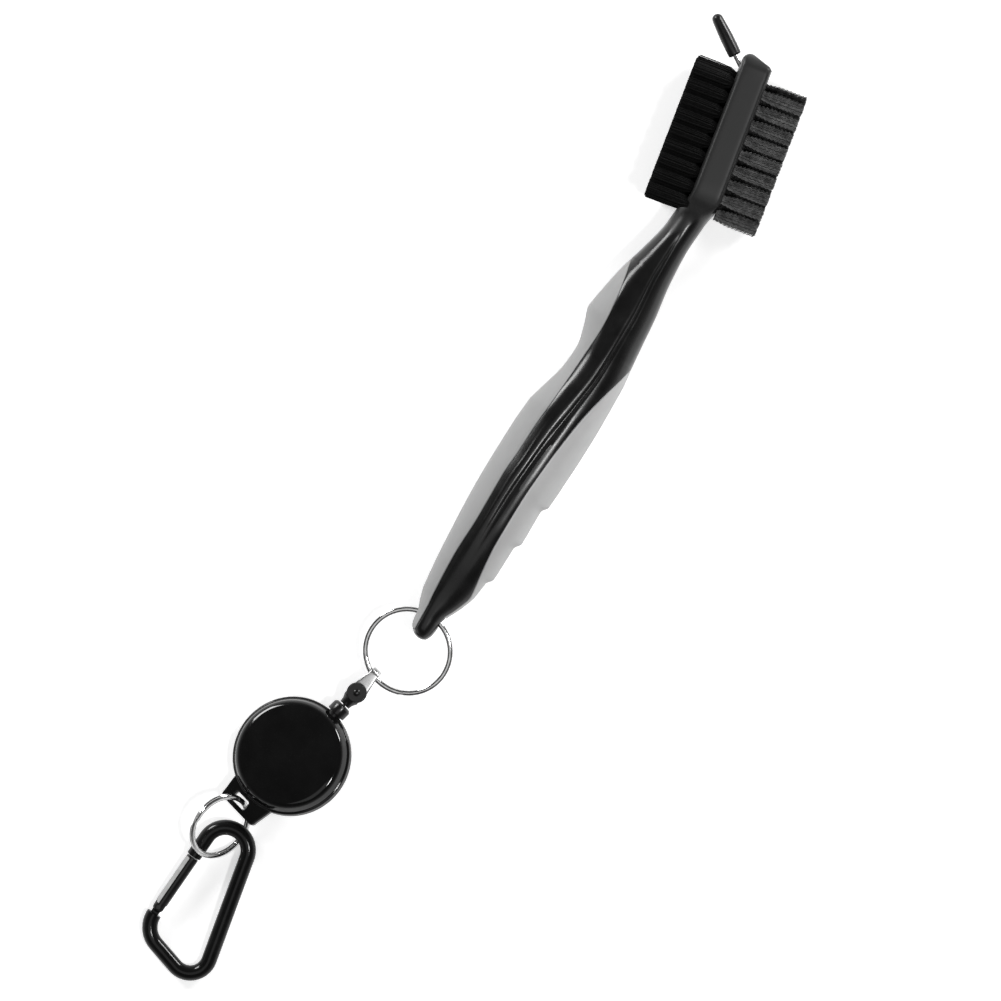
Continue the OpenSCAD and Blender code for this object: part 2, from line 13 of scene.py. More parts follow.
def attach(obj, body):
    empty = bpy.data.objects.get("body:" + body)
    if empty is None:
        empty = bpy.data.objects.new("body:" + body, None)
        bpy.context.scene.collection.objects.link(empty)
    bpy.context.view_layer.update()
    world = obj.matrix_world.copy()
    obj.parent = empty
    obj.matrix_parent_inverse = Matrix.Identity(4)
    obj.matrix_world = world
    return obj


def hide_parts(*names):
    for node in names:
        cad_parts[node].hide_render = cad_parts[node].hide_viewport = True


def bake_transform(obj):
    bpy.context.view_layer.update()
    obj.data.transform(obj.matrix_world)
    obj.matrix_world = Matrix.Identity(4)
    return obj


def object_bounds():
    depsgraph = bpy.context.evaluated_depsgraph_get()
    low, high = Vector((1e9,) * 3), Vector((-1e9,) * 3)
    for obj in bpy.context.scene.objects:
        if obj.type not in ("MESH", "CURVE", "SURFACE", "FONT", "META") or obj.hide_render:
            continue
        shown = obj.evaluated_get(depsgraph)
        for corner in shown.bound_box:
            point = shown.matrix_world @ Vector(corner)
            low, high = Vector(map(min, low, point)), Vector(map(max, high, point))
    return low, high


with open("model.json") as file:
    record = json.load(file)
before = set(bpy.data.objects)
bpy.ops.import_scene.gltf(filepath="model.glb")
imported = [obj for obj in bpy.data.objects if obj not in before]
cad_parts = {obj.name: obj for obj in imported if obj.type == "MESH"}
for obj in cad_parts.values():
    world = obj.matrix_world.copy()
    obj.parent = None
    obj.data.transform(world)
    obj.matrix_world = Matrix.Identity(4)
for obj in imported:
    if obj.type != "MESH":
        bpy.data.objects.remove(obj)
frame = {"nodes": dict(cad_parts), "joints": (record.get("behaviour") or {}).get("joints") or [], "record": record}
cad_low, cad_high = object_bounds()

MM = 0.001
UP = Vector((0, 0, 1))
joints = {joint["name"]: joint for joint in frame["joints"]}


# ---- places, from the frame ----
def joint_at(name):
    return Vector(joints[name]["pos_m"]) / MM


def turn(degrees, axis):
    return Matrix.Rotation(math.radians(degrees), 4, axis)


def at(x, y, z):
    return Matrix.Translation((x, y, z))


def polar(radius, degrees):
    angle = math.radians(degrees)
    return radius * math.cos(angle), radius * math.sin(angle)


def circle(sides):
    """Cosines and sines of evenly spaced angles all round."""
    angles = [2 * math.pi * k / sides for k in range(sides)]
    return [(math.cos(a), math.sin(a)) for a in angles]


def signed_power(value, power):
    return math.copysign(abs(value) ** power, value)


def add_object(name, data):
    thing = bpy.data.objects.new(name, data)
    bpy.context.scene.collection.objects.link(thing)
    return thing


# The layout origin lies beside the handle's eye, which is at EYE from it
EYE = Vector((0.4, 2.1))
eye = joint_at("key_ring_swing")
layout = at(eye.x - EYE.x, eye.y - EYE.y, 0)
brush_frame = layout @ at(0, 0, eye.z)

# Depth of the grip, and the head's foot, lean in degrees, thickness, width and height
GRIP_DEPTH = 21
SLAB_AT = (7.4, 139)
SLAB_LEAN = 9
SLAB_T = 8.5
SLAB_W = 21
SLAB_TOP = 36.6
slab_frame = brush_frame @ at(*SLAB_AT, 0) @ turn(SLAB_LEAN, "Z")

# The pick's angle from the head at rest, and how far from its pin the cap starts
PICK_ANGLE = 47
PICK_BASE = 5.5
pick_at = joint_at("pick_swing")
PICK_SWING = joints["pick_swing"]["range_deg"]
pick_frame = at(*pick_at) @ turn(SLAB_LEAN + PICK_ANGLE, "Z")

# Turn of the line from the reel to the key ring, and the reel's tilt about it
CHAIN_TURN = -15.5
REEL_TILT = 16
reel_at = joint_at("spool_spin")
chain_frame = at(*reel_at) @ turn(CHAIN_TURN, "Z")
reel_frame = chain_frame @ turn(-REEL_TILT, "Y")

# The split rings' wire, outer diameters, turns and tilts, and the angle at which the wire ends
RING_HALF = 0.7
KEY_RING_D = 24.2
KEY_RING_TURN = -4.7
KEY_RING_TILT = 9
KEY_RING_END = -60
CLIP_RING_D = 19
CLIP_RING_AT = (-20.6, -74.8, 7.9)
CLIP_RING_TURN = -6.5
CLIP_RING_TILT = 44.5
CLIP_RING_END = 200
KEY_RING_R = KEY_RING_D / 2 - RING_HALF
key_ring_frame = (at(*eye) @ turn(KEY_RING_TURN, "Z") @ turn(KEY_RING_TILT, "X")
                  @ at(0, -KEY_RING_R, 0) @ turn(KEY_RING_END, "Z"))
CLIP_RING_R = CLIP_RING_D / 2 - RING_HALF
clip_ring_frame = (layout @ at(*CLIP_RING_AT) @ turn(CLIP_RING_TURN, "Z")
                   @ turn(CLIP_RING_TILT, "Y") @ turn(CLIP_RING_END, "Z"))

# The carabiner's rod, where up the layout it lies on the floor, its tilt and its gap there
ROD_R = 2.1
CLIP_LOW = -114
CLIP_TILT = 4.3
CLIP_GAP = 0.05
carabiner_frame = (layout @ at(0, CLIP_LOW, ROD_R + CLIP_GAP) @ turn(CLIP_TILT, "X")
                   @ at(0, -CLIP_LOW, 0))


# ---- camera, floor and light ----
# The camera looks straight down on VIEW_CENTRE, and shows VIEW_WIDTH of the floor
VIEW_TURN = 30
VIEW_CENTRE = Vector((3.15, 5.7, 0))
VIEW_WIDTH = 269
# Studio sizes are in metres, apart from the sensor's; the paper floor has a grey and a glow
CAMERA_HEIGHT = 2.0
SENSOR_WIDTH = 36
FLOOR_SIZE = 6
FLOOR_GAP = 0.0002
PAPER = 0.93
PAPER_GLOW = 0.5
# Soft boxes: name, direction (picture's right, its top, up), distance, size and power
SOFT_BOXES = [
    ("key_left", (-0.85, 0.9, 0.62), 1.5, (0.42, 0.5), 15),
    ("fill_right", (1, 0.8, 0.5), 1.5, (0.4, 0.3), 13),
    ("streak", (0.28, -0.16, 1), 2.4, (0.3, 0.2), 15),
    ("ceiling", (-0.1, -0.2, 1), 2.5, (1.3, 1.3), 4.2),
]
# World brightness by height of the direction: pale at the horizon and dark overhead
SKY = [(0.05, 0.75), (0.3, 0.3), (0.6, 0.07)]


def make_camera():
    camera = bpy.data.cameras.new("camera")
    camera.sensor_width = SENSOR_WIDTH
    camera.lens = SENSOR_WIDTH * CAMERA_HEIGHT / (VIEW_WIDTH * MM)
    holder = add_object("camera", camera)
    holder.location = VIEW_CENTRE * MM + UP * CAMERA_HEIGHT
    holder.rotation_euler = (0, 0, math.radians(VIEW_TURN))
    bpy.context.scene.camera = holder


def image_direction(right, up, height):
    """Direction given by its share to the picture's right, its top and towards the camera."""
    turned = turn(VIEW_TURN, "Z").to_3x3()
    return (turned @ Vector((right, up, height))).normalized()


def soft_box(name, direction, distance, size, power):
    light = bpy.data.lights.new(name, "AREA")
    light.shape = "RECTANGLE"
    light.size, light.size_y = size
    light.energy = power
    holder = add_object(name, light)
    away = image_direction(*direction)
    holder.location = VIEW_CENTRE * MM + away * distance
    holder.rotation_euler = (-away).to_track_quat("-Z", "Y").to_euler()


def make_stage():
    bpy.context.scene.view_settings.view_transform = "Standard"
    world = bpy.data.worlds.new("studio")
    bpy.context.scene.world = world
    world.use_nodes = True
    tree = world.node_tree
    sky = tree.nodes.new("ShaderNodeTexCoord")
    heights = tree.nodes.new("ShaderNodeSeparateXYZ")
    link(tree, sky, "Generated", heights, "Vector")
    sky_grey = ramp(tree, heights, "Z", [(height, grey(level)) for height, level in SKY])
    link(tree, sky_grey, "Color", tree.nodes["Background"], "Color")
    for light in SOFT_BOXES:
        soft_box(*light)
    half = FLOOR_SIZE / 2
    floor = bpy.data.meshes.new("floor")
    level = cad_low.z - FLOOR_GAP
    corners = [(-half, -half), (half, -half), (half, half), (-half, half)]
    floor.from_pydata([(x, y, level) for x, y in corners], [], [(0, 1, 2, 3)])
    sheet = add_object("floor", floor)
    paper = bpy.data.materials.new("floor_paper")
    paper.use_nodes = True
    fill(paper.node_tree.nodes["Principled BSDF"], {
        "Base Color": (*grey(PAPER), 1), "Roughness": 0.9,
        "Emission Color": (1, 1, 1, 1), "Emission Strength": PAPER_GLOW,
    })
    floor.materials.append(paper)


make_camera()


# ---- materials ----
def link(tree, source, output, target, socket):
    tree.links.new(source.outputs[output], target.inputs[socket])


def fill(node, values):
    for name, value in values.items():
        node.inputs[name].default_value = value


def math_node(tree, operation, source, output, amount=None):
    """A Math node on an output, and on a fixed amount where the operation takes one."""
    node = tree.nodes.new("ShaderNodeMath")
    node.operation = operation
    if amount is not None:
        node.inputs[1].default_value = amount
    link(tree, source, output, node, 0)
    return node


def noise(tree, coordinates, scale, detail=4, stretch=None):
    node = tree.nodes.new("ShaderNodeTexNoise")
    fill(node, {"Scale": scale, "Detail": detail})
    if stretch is None:
        link(tree, coordinates, "Object", node, "Vector")
        return node
    mapping = tree.nodes.new("ShaderNodeMapping")
    fill(mapping, {"Scale": stretch})
    link(tree, coordinates, "Object", mapping, "Vector")
    link(tree, mapping, "Vector", node, "Vector")
    return node


def ranged(tree, source, output, low, high, to_low, to_high):
    node = tree.nodes.new("ShaderNodeMapRange")
    fill(node, {"From Min": low, "From Max": high, "To Min": to_low, "To Max": to_high})
    link(tree, source, output, node, "Value")
    return node


def ramp(tree, source, output, stops):
    node = tree.nodes.new("ShaderNodeValToRGB")
    spots = node.color_ramp.elements
    for i in (0, -1):
        place, colour = stops[i]
        spots[i].position = place
        spots[i].color = (*colour, 1)
    for place, colour in stops[1:-1]:
        spots.new(place).color = (*colour, 1)
    link(tree, source, output, node, "Fac")
    return node


def grey(level, warmth=0.0):
    return (level * (1 + warmth), level, level * (1 - warmth))


# Share of the broad patches in a surface's gloss, and the span of values that its noise has
PATCH_SHARE = 0.6
NOISE_SPAN = (0.35, 0.65)


def surface(name, dark, light, rough, metallic=0.0, patch=180, grain=2600, relief=0.15,
            grain_depth=0.00002, stretch=None, specular=0.5, warmth=0.0):
    """A worn surface: broad patches of colour and gloss, over a fine grain that has relief."""
    made = bpy.data.materials.new(name)
    made.use_nodes = True
    tree = made.node_tree
    shader = tree.nodes["Principled BSDF"]
    coordinates = tree.nodes.new("ShaderNodeTexCoord")
    patches = noise(tree, coordinates, patch)
    colour = ramp(tree, patches, "Fac", [(0.3, grey(dark, warmth)), (0.7, grey(light, warmth))])
    link(tree, colour, "Color", shader, "Base Color")
    marks = noise(tree, coordinates, grain, 3, stretch)
    mixed = math_node(tree, "MULTIPLY_ADD", patches, "Fac", PATCH_SHARE)
    fine = math_node(tree, "MULTIPLY", marks, "Fac", 1 - PATCH_SHARE)
    link(tree, fine, "Value", mixed, 2)
    gloss = ranged(tree, mixed, "Value", *NOISE_SPAN, *rough)
    link(tree, gloss, "Result", shader, "Roughness")
    bump = tree.nodes.new("ShaderNodeBump")
    fill(bump, {"Strength": relief, "Distance": grain_depth})
    link(tree, marks, "Fac", bump, "Height")
    link(tree, bump, "Normal", shader, "Normal")
    fill(shader, {"Metallic": metallic, "Specular IOR Level": specular})
    return made


make_stage()

# Surfaces, by the record's slot names: dark and light tone, roughness, and what else differs
looks = {}
for name, *tones, more in (
    ("handle_plastic", 0.005, 0.009, (0.19, 0.27), dict(grain=3400, relief=0.1, specular=0.32)),
    ("nylon_side_pad", 0.31, 0.33, (0.6, 0.75),
     dict(grain=4200, relief=0.4, grain_depth=0.00004, specular=0.3)),
    # Painted light: the wire side's pad is the same grey rubber as the nylon side's, made paler to stand for the
    # stronger light that falls on that side
    ("wire_side_pad", 0.49, 0.52, (0.6, 0.75),
     dict(grain=4200, relief=0.4, grain_depth=0.00004, specular=0.3)),
    ("nylon_bristle", 0.003, 0.005, (0.5, 0.65), dict(patch=900, specular=0.14)),
    ("wire_bristle", 0.055, 0.16, (0.2, 0.3), dict(metallic=1, patch=700)),
    ("anchor_brass", 0.42, 0.55, (0.3, 0.45), dict(metallic=1, warmth=0.25)),
    ("pick_steel", 0.6, 0.75, (0.25, 0.38), dict(metallic=1, patch=500, stretch=(1, 1, 6))),
    ("strip_steel", 0.3, 0.4, (0.34, 0.46), dict(metallic=1, patch=500)),
    ("rivet_black", 0.03, 0.05, (0.25, 0.35), dict(metallic=1)),
    ("pin_steel", 0.42, 0.55, (0.22, 0.36), dict(metallic=1, patch=500)),
    ("cap_plastic", 0.005, 0.009, (0.24, 0.36), dict(grain=3800, relief=0.25, specular=0.4)),
    ("ring_chrome", 0.46, 0.66, (0.05, 0.14), dict(metallic=1, patch=700, grain=5200, relief=0.08)),
    ("bail_chrome", 0.46, 0.56, (0.24, 0.36), dict(metallic=1, patch=400, grain=5200, relief=0.1)),
    ("fitting_plastic", 0.005, 0.009, (0.16, 0.28), dict(relief=0.08, specular=0.35)),
    ("cord_nylon", 0.01, 0.03, (0.5, 0.7), dict(patch=1400, relief=0.6, grain_depth=0.0001)),
    ("reel_gloss", 0.003, 0.005, (0.06, 0.11), dict(relief=0.03, specular=0.35)),
    ("spool_plastic", 0.62, 0.7, (0.35, 0.5), dict()),
    ("spring_steel", 0.3, 0.42, (0.2, 0.35), dict(metallic=1)),
    ("carabiner_paint", 0.004, 0.007, (0.1, 0.17), dict(relief=0.06, specular=0.22)),
    ("gate_paint", 0.006, 0.01, (0.14, 0.24), dict(relief=0.08, specular=0.35)),
):
    looks[name] = surface(name, *tones, **more)


def open_look(look):
    """A look's node tree, its shader, and a node with its object coordinates one by one."""
    tree = look.node_tree
    coordinates = next(n for n in tree.nodes if n.type == "TEX_COORD")
    parts = tree.nodes.new("ShaderNodeSeparateXYZ")
    link(tree, coordinates, "Object", parts, "Vector")
    return tree, tree.nodes["Principled BSDF"], parts


slot_of = {part["node"]: part["material_slot"] for part in frame["record"]["subparts"]}


def clothe(thing, look):
    thing.data.materials.clear()
    thing.data.materials.append(look)


# ---- mesh helpers ----
# Points nearer to each other than this, in metres, become one after a cut
WELD = 0.000004


def placed_mesh(name, points, faces, place):
    """A mesh with its faces outwards, from points in a frame given in millimetres."""
    mesh = bpy.data.meshes.new(name)
    mesh.from_pydata([(place @ Vector(p)) * MM for p in points], [], faces)
    mesh.validate()
    sides = bmesh.new()
    sides.from_mesh(mesh)
    bmesh.ops.recalc_face_normals(sides, faces=sides.faces)
    sides.to_mesh(mesh)
    sides.free()
    return mesh


def piece(name, points, faces, place, body, slot, stands_for, look=None, sharp=35):
    """A mesh piece made in a frame given in millimetres, which rides on a body."""
    thing = add_object(name, placed_mesh(name, points, faces, place))
    shade(thing, sharp)
    clothe(thing, look or looks[slot])
    if body:
        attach(thing, body)
    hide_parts(*stands_for)
    return thing


def shade(thing, sharp):
    thing.data.shade_smooth()
    thing.data.set_sharp_from_angle(angle=math.radians(sharp))


def loft(loops):
    """Points and faces of a closed skin through loops with the same number of points."""
    sides = len(loops[0])
    points = [p for loop in loops for p in loop]
    faces = []
    for i in range(len(loops) - 1):
        for j in range(sides):
            a, b = i * sides + j, i * sides + (j + 1) % sides
            faces.append((a, b, b + sides, a + sides))
    faces.append(tuple(range(sides - 1, -1, -1)))
    faces.append(tuple((len(loops) - 1) * sides + j for j in range(sides)))
    return points, faces


def merge(*shapes):
    """Several (points, faces) pairs as one."""
    points, faces = [], []
    for some, more in shapes:
        faces += [tuple(len(points) + i for i in face) for face in more]
        points += some
    return points, faces


def lathe(profile, steps):
    """Points and faces of a closed profile of (radius, height) turned about Z."""
    points, faces, rings = [], [], []
    for radius, height in profile:
        start = len(points)
        if radius < 1e-6:
            points.append((0, 0, height))
            rings.append([start] * steps)
            continue
        points += [(radius * c, radius * d, height) for c, d in circle(steps)]
        rings.append([start + k for k in range(steps)])
    for i in range(len(rings) - 1):
        for k in range(steps):
            n = (k + 1) % steps
            corners = [rings[i][k], rings[i][n], rings[i + 1][n], rings[i + 1][k]]
            unique = list(dict.fromkeys(corners))
            if len(unique) > 2:
                faces.append(unique)
    return points, faces


def softened(corners, radius, steps=5):
    """A polyline whose inner corners are rounded, by a curve that starts radius before each."""
    out = [corners[0]]
    for before, corner, after in zip(corners, corners[1:], corners[2:]):
        before, corner, after = Vector(before), Vector(corner), Vector(after)
        back = min(radius, (before - corner).length * 0.49)
        on = min(radius, (after - corner).length * 0.49)
        start = corner + (before - corner).normalized() * back
        end = corner + (after - corner).normalized() * on
        for k in range(steps + 1):
            t = k / steps
            out.append(tuple(start * (1 - t) ** 2 + corner * 2 * t * (1 - t) + end * t * t))
    out.append(corners[-1])
    return out


def tube_loops(route, radius, sides):
    """Loops of a round tube along a route, whose sections don't twist. radius may be a list."""
    loops, normal = [], UP
    for i, p in enumerate(route):
        ahead = Vector(route[min(i + 1, len(route) - 1)])
        behind = Vector(route[max(i - 1, 0)])
        along = (ahead - behind).normalized()
        normal = (normal - along * normal.dot(along)).normalized()
        side = along.cross(normal)
        size = radius[i] if isinstance(radius, (list, tuple)) else radius
        loops.append([Vector(p) + (normal * c + side * d) * size for c, d in circle(sides)])
    return loops


def smooth_step(t):
    t = min(max(t, 0), 1)
    return t * t * (3 - 2 * t)


def through(table, where):
    """Height of a smooth curve through a table of (place, height), with no overshoot."""
    if where <= table[0][0]:
        return table[0][1]
    if where >= table[-1][0]:
        return table[-1][1]
    i = max(k for k in range(len(table) - 1) if table[k][0] <= where)

    def slope(k):
        return (table[k + 1][1] - table[k][1]) / (table[k + 1][0] - table[k][0])

    def tangent(k):
        if k == 0 or k == len(table) - 1:
            return slope(min(k, len(table) - 2))
        a, b = slope(k - 1), slope(k)
        return 0 if a * b <= 0 else 2 * a * b / (a + b)

    width = table[i + 1][0] - table[i][0]
    t = (where - table[i][0]) / width
    return (table[i][1] * (1 + 2 * t) * (1 - t) ** 2 + tangent(i) * width * t * (1 - t) ** 2
            + table[i + 1][1] * t * t * (3 - 2 * t) - tangent(i + 1) * width * t * t * (1 - t))


def straight(table, where):
    """Height at a place on the straight lines through a table."""
    if not table[0][0] < where < table[-1][0]:
        return table[0][1] if where <= table[0][0] else table[-1][1]
    i = max(k for k in range(len(table) - 1) if table[k][0] <= where)
    share = (where - table[i][0]) / (table[i + 1][0] - table[i][0])
    return table[i][1] + (table[i + 1][1] - table[i][1]) * share


def cut(thing, points, faces, place):
    """Takes a closed shape, given in a frame in millimetres, away from a piece for good."""
    mesh = placed_mesh("cutter", points, faces, place)
    cutter = add_object("cutter", mesh)
    step = thing.modifiers.new("cut", "BOOLEAN")
    step.operation = "DIFFERENCE"
    step.solver = "EXACT"
    step.object = cutter
    apply_modifiers(thing)
    bpy.data.objects.remove(cutter)
    bpy.data.meshes.remove(mesh)
    remove_slivers(thing)


def remove_slivers(thing):
    """Welds the near-double points that a cut leaves, and splits its many-sided faces."""
    clean = bmesh.new()
    clean.from_mesh(thing.data)
    bmesh.ops.remove_doubles(clean, verts=clean.verts, dist=WELD)
    bmesh.ops.dissolve_degenerate(clean, edges=clean.edges, dist=WELD)
    many_sided = [face for face in clean.faces if len(face.verts) > 4]
    bmesh.ops.triangulate(clean, faces=many_sided)
    bmesh.ops.dissolve_degenerate(clean, edges=clean.edges, dist=WELD)
    clean.to_mesh(thing.data)
    clean.free()


def finished_mesh(thing):
    """A new mesh of a thing as its modifiers or its curve's settings make it."""
    bpy.context.view_layer.update()
    shown = thing.evaluated_get(bpy.context.evaluated_depsgraph_get())
    return bpy.data.meshes.new_from_object(shown)


def apply_modifiers(thing):
    done = finished_mesh(thing)
    thing.modifiers.clear()
    thing.data = done


def prism(outline, low, high):
    """Points and faces of an outline of (x, y) drawn up from one height to another."""
    return loft([[(x, y, low) for x, y in outline], [(x, y, high) for x, y in outline]])


# ---- handle ----
# Handle outline, side on: (distance up the handle, edge)
NYLON_EDGE = [(-4.5, -0.4), (-4, -1.5), (-2, -3.2), (2, -4), (7, -5.35), (8, -5.6), (9, -5.7),
              (20, -6.6), (40, -7.3), (58, -6.8), (65, -6.2), (66, -6.1), (67, -5.8), (72, -4.3),
              (78, -2.7), (84, -2.2), (90, -3.4), (94.3, -4.8), (95, -4.95), (95.7, -4.85),
              (100, -4.1), (108, -2.4), (116, 0), (124, 2), (130, 2.6), (140, 3.6)]
WIRE_EDGE = [(-4.5, 1.2), (-4, 2.2), (-2, 3.1), (2, 3.6), (8, 6.3), (12, 7.8), (18, 9.25),
             (30, 11), (42, 12.4), (50, 13.5), (58, 14), (68, 14.3), (80, 14.2), (86, 13.6),
             (92, 13.1), (100, 12.5), (112, 11.1), (120, 10.8), (128, 11.3), (134, 11.7),
             (140, 11.5)]
# Saw-tooth notches of the wire side, added to its edge
NOTCHES = [(12, 0), (17.2, -0.6), (18.6, 0.5), (29.2, -0.6), (30.6, 0.55), (41.2, -0.6),
           (42.6, 0.5), (50, 0)]
# How fast the notches fade round the section, as a power
NOTCH_REACH = 6
# Half depth of the handle as a share of the grip's half depth
HALF_DEPTH = [(-4.5, 0.22), (-4, 0.34), (-2, 0.44), (2, 0.48), (8, 0.54), (20, 0.76), (34, 0.93),
              (50, 1), (66, 0.99), (80, 0.93), (96, 0.84), (112, 0.69), (124, 0.62), (128, 0.63)]
# Seams between the black ribbon and the two pads
NYLON_SEAM = [(-3, -2), (4, -2.1), (8, -2.4), (20, -2.8), (32, -2.3), (44, -2.3), (52, -1.7),
              (60, -1.3), (68, -0.5), (80, 0.5), (92, 1.2), (100, 0.7), (106, -0.2), (111.5, -1.3)]
WIRE_SEAM = [(3.5, 3.4), (8, 5.7), (12, 6.9), (16, 6.5), (20, 6), (28, 5.5), (40, 5.7),
             (52, 6.6), (60, 7.6), (68, 8.9), (76, 10.9), (84, 13.2), (85.5, 13.5)]
# Squareness of the grip's section and of the head's: the power of their superellipses
GRIP_POWER = 2.3
SLAB_POWER = 9
# The neck turns into the head from NECK_END up: in shape over BLEND_H, in squareness over SQUARE_H
NECK_END = 129
BLEND_H = 8
SQUARE_H = 6
# Half width of the head above its foot: (distance up the head, half width)
SLAB_FOOT = [(-11, 6.65), (-9, 7.3), (-7, 8.7), (-5, 9.8), (-2, 10.4), (0, 10.5)]
# The head's top corners: across its width, on its nylon side, and the slant on its wire side: how
# far across it starts, its height and reach, and the easing into it (depth, drop, height)
SLAB_CORNER = 4
TOP_ROUND = 2.2
SLANT_FROM = 3.65
SLANT_H = 1.83
SLANT_W = 5.65
SLANT_LAP = 0.02
EASE_D, EASE_FROM, EASE_H = 0.6, 2.6, 0.77
# The pads' thickness and how far they sink into the handle
PAD_T = 1.6
PAD_SINK = 0.1
# A pad's band of the section: the length that its sides taper over beyond its ends, its least half
# angle, the length over which it opens, and the half angles between which it opens
BAND_TAPER = 12
BAND_LEAST = 1.0
BAND_END = 1.2
BAND_OPENS = (3, 9)
# Half angle under which the edges beside a seam are squeezed
FULL_EDGE = 6
BAND_SIDES = 18
RIBBON_SIDES = 60
ROW_STEP = 0.7
# Edges across a seam, as (angle from the seam, depth): a pad's rounded lip, the ribbon's crisp
# corner, and the wide bevel that the corner turns into on the nylon side of the lower grip
PAD_LIP = ((0.3, 0.8), (0.3, 0.3), (0.8, 0.07), (1.8, 0.0))
RIBBON_CORNER = ((0.3, 0.3), (0.9, 0.06), (4, 0), (8, 0), (9.5, 0), (12, 0))
RIBBON_LIP = ((0.3, 0.4), (0.9, 0.2), (4, 0.13), (8, 0.08), (9.5, 0.03), (12, 0.0))
BEVEL_ENDS, BEVEL_FADE = 72, 18
# Moulded line along the ribbon: (distance up the handle, place across it)
RIBBON_LINE = [(5, 1.4), (20, 1.7), (30, 1.8), (40, 2.1), (50, 2.9), (60, 4.1), (70, 5.6),
               (80, 6.9), (97, 7.5), (112, 6.7), (126, 6.8)]
# How the line fades (start, length) and (end, length), its groove (depth, half angle), the ridge
# beside it (height, angle away, half angle), its least angle from a seam, and the columns' crowding
LINE_FADES = ((14, 30), (126, 16))
LINE_GROOVE = (0.34, 3.2)
LINE_RIDGE = (0.12, 9, 5)
LINE_MARGIN = 14
LINE_CROWD = 1.5
EYE_R = 2.2
# Satin part of the handle: foot of its V, rise of the V's sides, and its grey and added roughness
SATIN_FOOT = Vector((4.6, 121, 0))
SATIN_RISE = 1.7
SATIN_FADE = 0.002
SATIN_GREY = 0.0165
SATIN_ROUGHER = 0.18


# The head's section at height v: its nylon side, its wire side and its half width
def slab_low(v):
    rise = v - SLAB_TOP + TOP_ROUND
    if rise < 0:
        return -SLAB_T / 2
    return -SLAB_T / 2 + TOP_ROUND - math.sqrt(max(TOP_ROUND ** 2 - rise ** 2, 0))


def slab_high(v):
    slant = SLANT_FROM - (v - SLAB_TOP + SLANT_H) * (SLANT_W / SLANT_H)
    corner = SLAB_T / 2 - EASE_D * smooth_step((v - SLAB_TOP + EASE_FROM) / EASE_H)
    return min(corner, slant + SLANT_LAP)


def slab_half(v):
    if v <= SLAB_TOP - SLAB_CORNER:
        return through(SLAB_FOOT, v)
    rise = v - SLAB_TOP + SLAB_CORNER
    return SLAB_W / 2 - SLAB_CORNER + math.sqrt(max(SLAB_CORNER ** 2 - rise ** 2, 0))


def handle_row(s):
    """Centre, turn, half sizes and squareness of the section s up the handle and head."""
    v = s - SLAB_AT[1]
    into_head = smooth_step((s - NECK_END) / BLEND_H)
    low, high = through(NYLON_EDGE, s), through(WIRE_EDGE, s)
    in_slab = turn(SLAB_LEAN, "Z") @ Vector(((slab_low(v) + slab_high(v)) / 2, v, 0))
    on_slab = Vector((*SLAB_AT, 0)) + in_slab
    centre = Vector(((low + high) / 2, s, 0)).lerp(on_slab, into_head)
    half = (high - low) / 2 * (1 - into_head) + (slab_high(v) - slab_low(v)) / 2 * into_head
    deep = through(HALF_DEPTH, s) * GRIP_DEPTH / 2 if v < SLAB_FOOT[0][0] else slab_half(v)
    power = GRIP_POWER + (SLAB_POWER - GRIP_POWER) * smooth_step((s - NECK_END) / SQUARE_H)
    return centre, SLAB_LEAN * into_head, half, deep, power, straight(NOTCHES, s)


def on_row(row, angle, inset):
    """Point of a row's section at an angle, sunk by an inset."""
    centre, turned, half, deep, power, notch = row
    c, d = math.cos(math.radians(angle)), math.sin(math.radians(angle))
    x = (half - inset) * signed_power(c, 2 / power) + notch * max(c, 0) ** NOTCH_REACH
    z = (deep - inset) * signed_power(d, 2 / power)
    return centre + turn(turned, "Z") @ Vector((x, 0, z))


def seam_angle(row, x):
    """Angle at which the section crosses a line up the handle, on its upper side."""
    share = min(max((x - row[0].x) / row[2], -1), 1)
    return math.degrees(math.acos(signed_power(share, row[4] / 2)))


def band(seam, s, row, on_nylon_side):
    """Half angle of a pad's band at a row, and how far the band is open there, from 0 to 1."""
    low, high = seam[0][0], seam[-1][0]
    inside = min(max(s, low), high)
    angle = seam_angle(row, through(seam, inside))
    half = 180 - angle if on_nylon_side else angle
    half = max(half * (1 - smooth_step(abs(s - inside) / BAND_TAPER)), BAND_LEAST)
    ends = min(max(min(s - low, high - s) / BAND_END, 0), 1)
    closed, opened = BAND_OPENS
    return half, ends * smooth_step((half - closed) / (opened - closed))


def ribbon_line(s, away):
    """Depth of the moulded line along the ribbon, at an angle away from it."""
    (first, rise), (last, fall) = LINE_FADES
    fade = smooth_step((s - first) / rise) * smooth_step((last - s) / fall)
    groove = LINE_GROOVE[0] * math.exp(-(away / LINE_GROOVE[1]) ** 2)
    ridge = LINE_RIDGE[0] * math.exp(-((away - LINE_RIDGE[1]) / LINE_RIDGE[2]) ** 2)
    return fade * (groove - ridge)


def ribbon_edge(half, opened, bevel):
    """The ribbon's edge beside a pad: its crisp corner, turned into the bevel by a share."""
    squeeze = min(half / FULL_EDGE, 1)
    return [(step * squeeze, (crisp + (inset - crisp) * bevel) * opened)
            for (step, inset), (_, crisp) in zip(RIBBON_LIP, RIBBON_CORNER)]


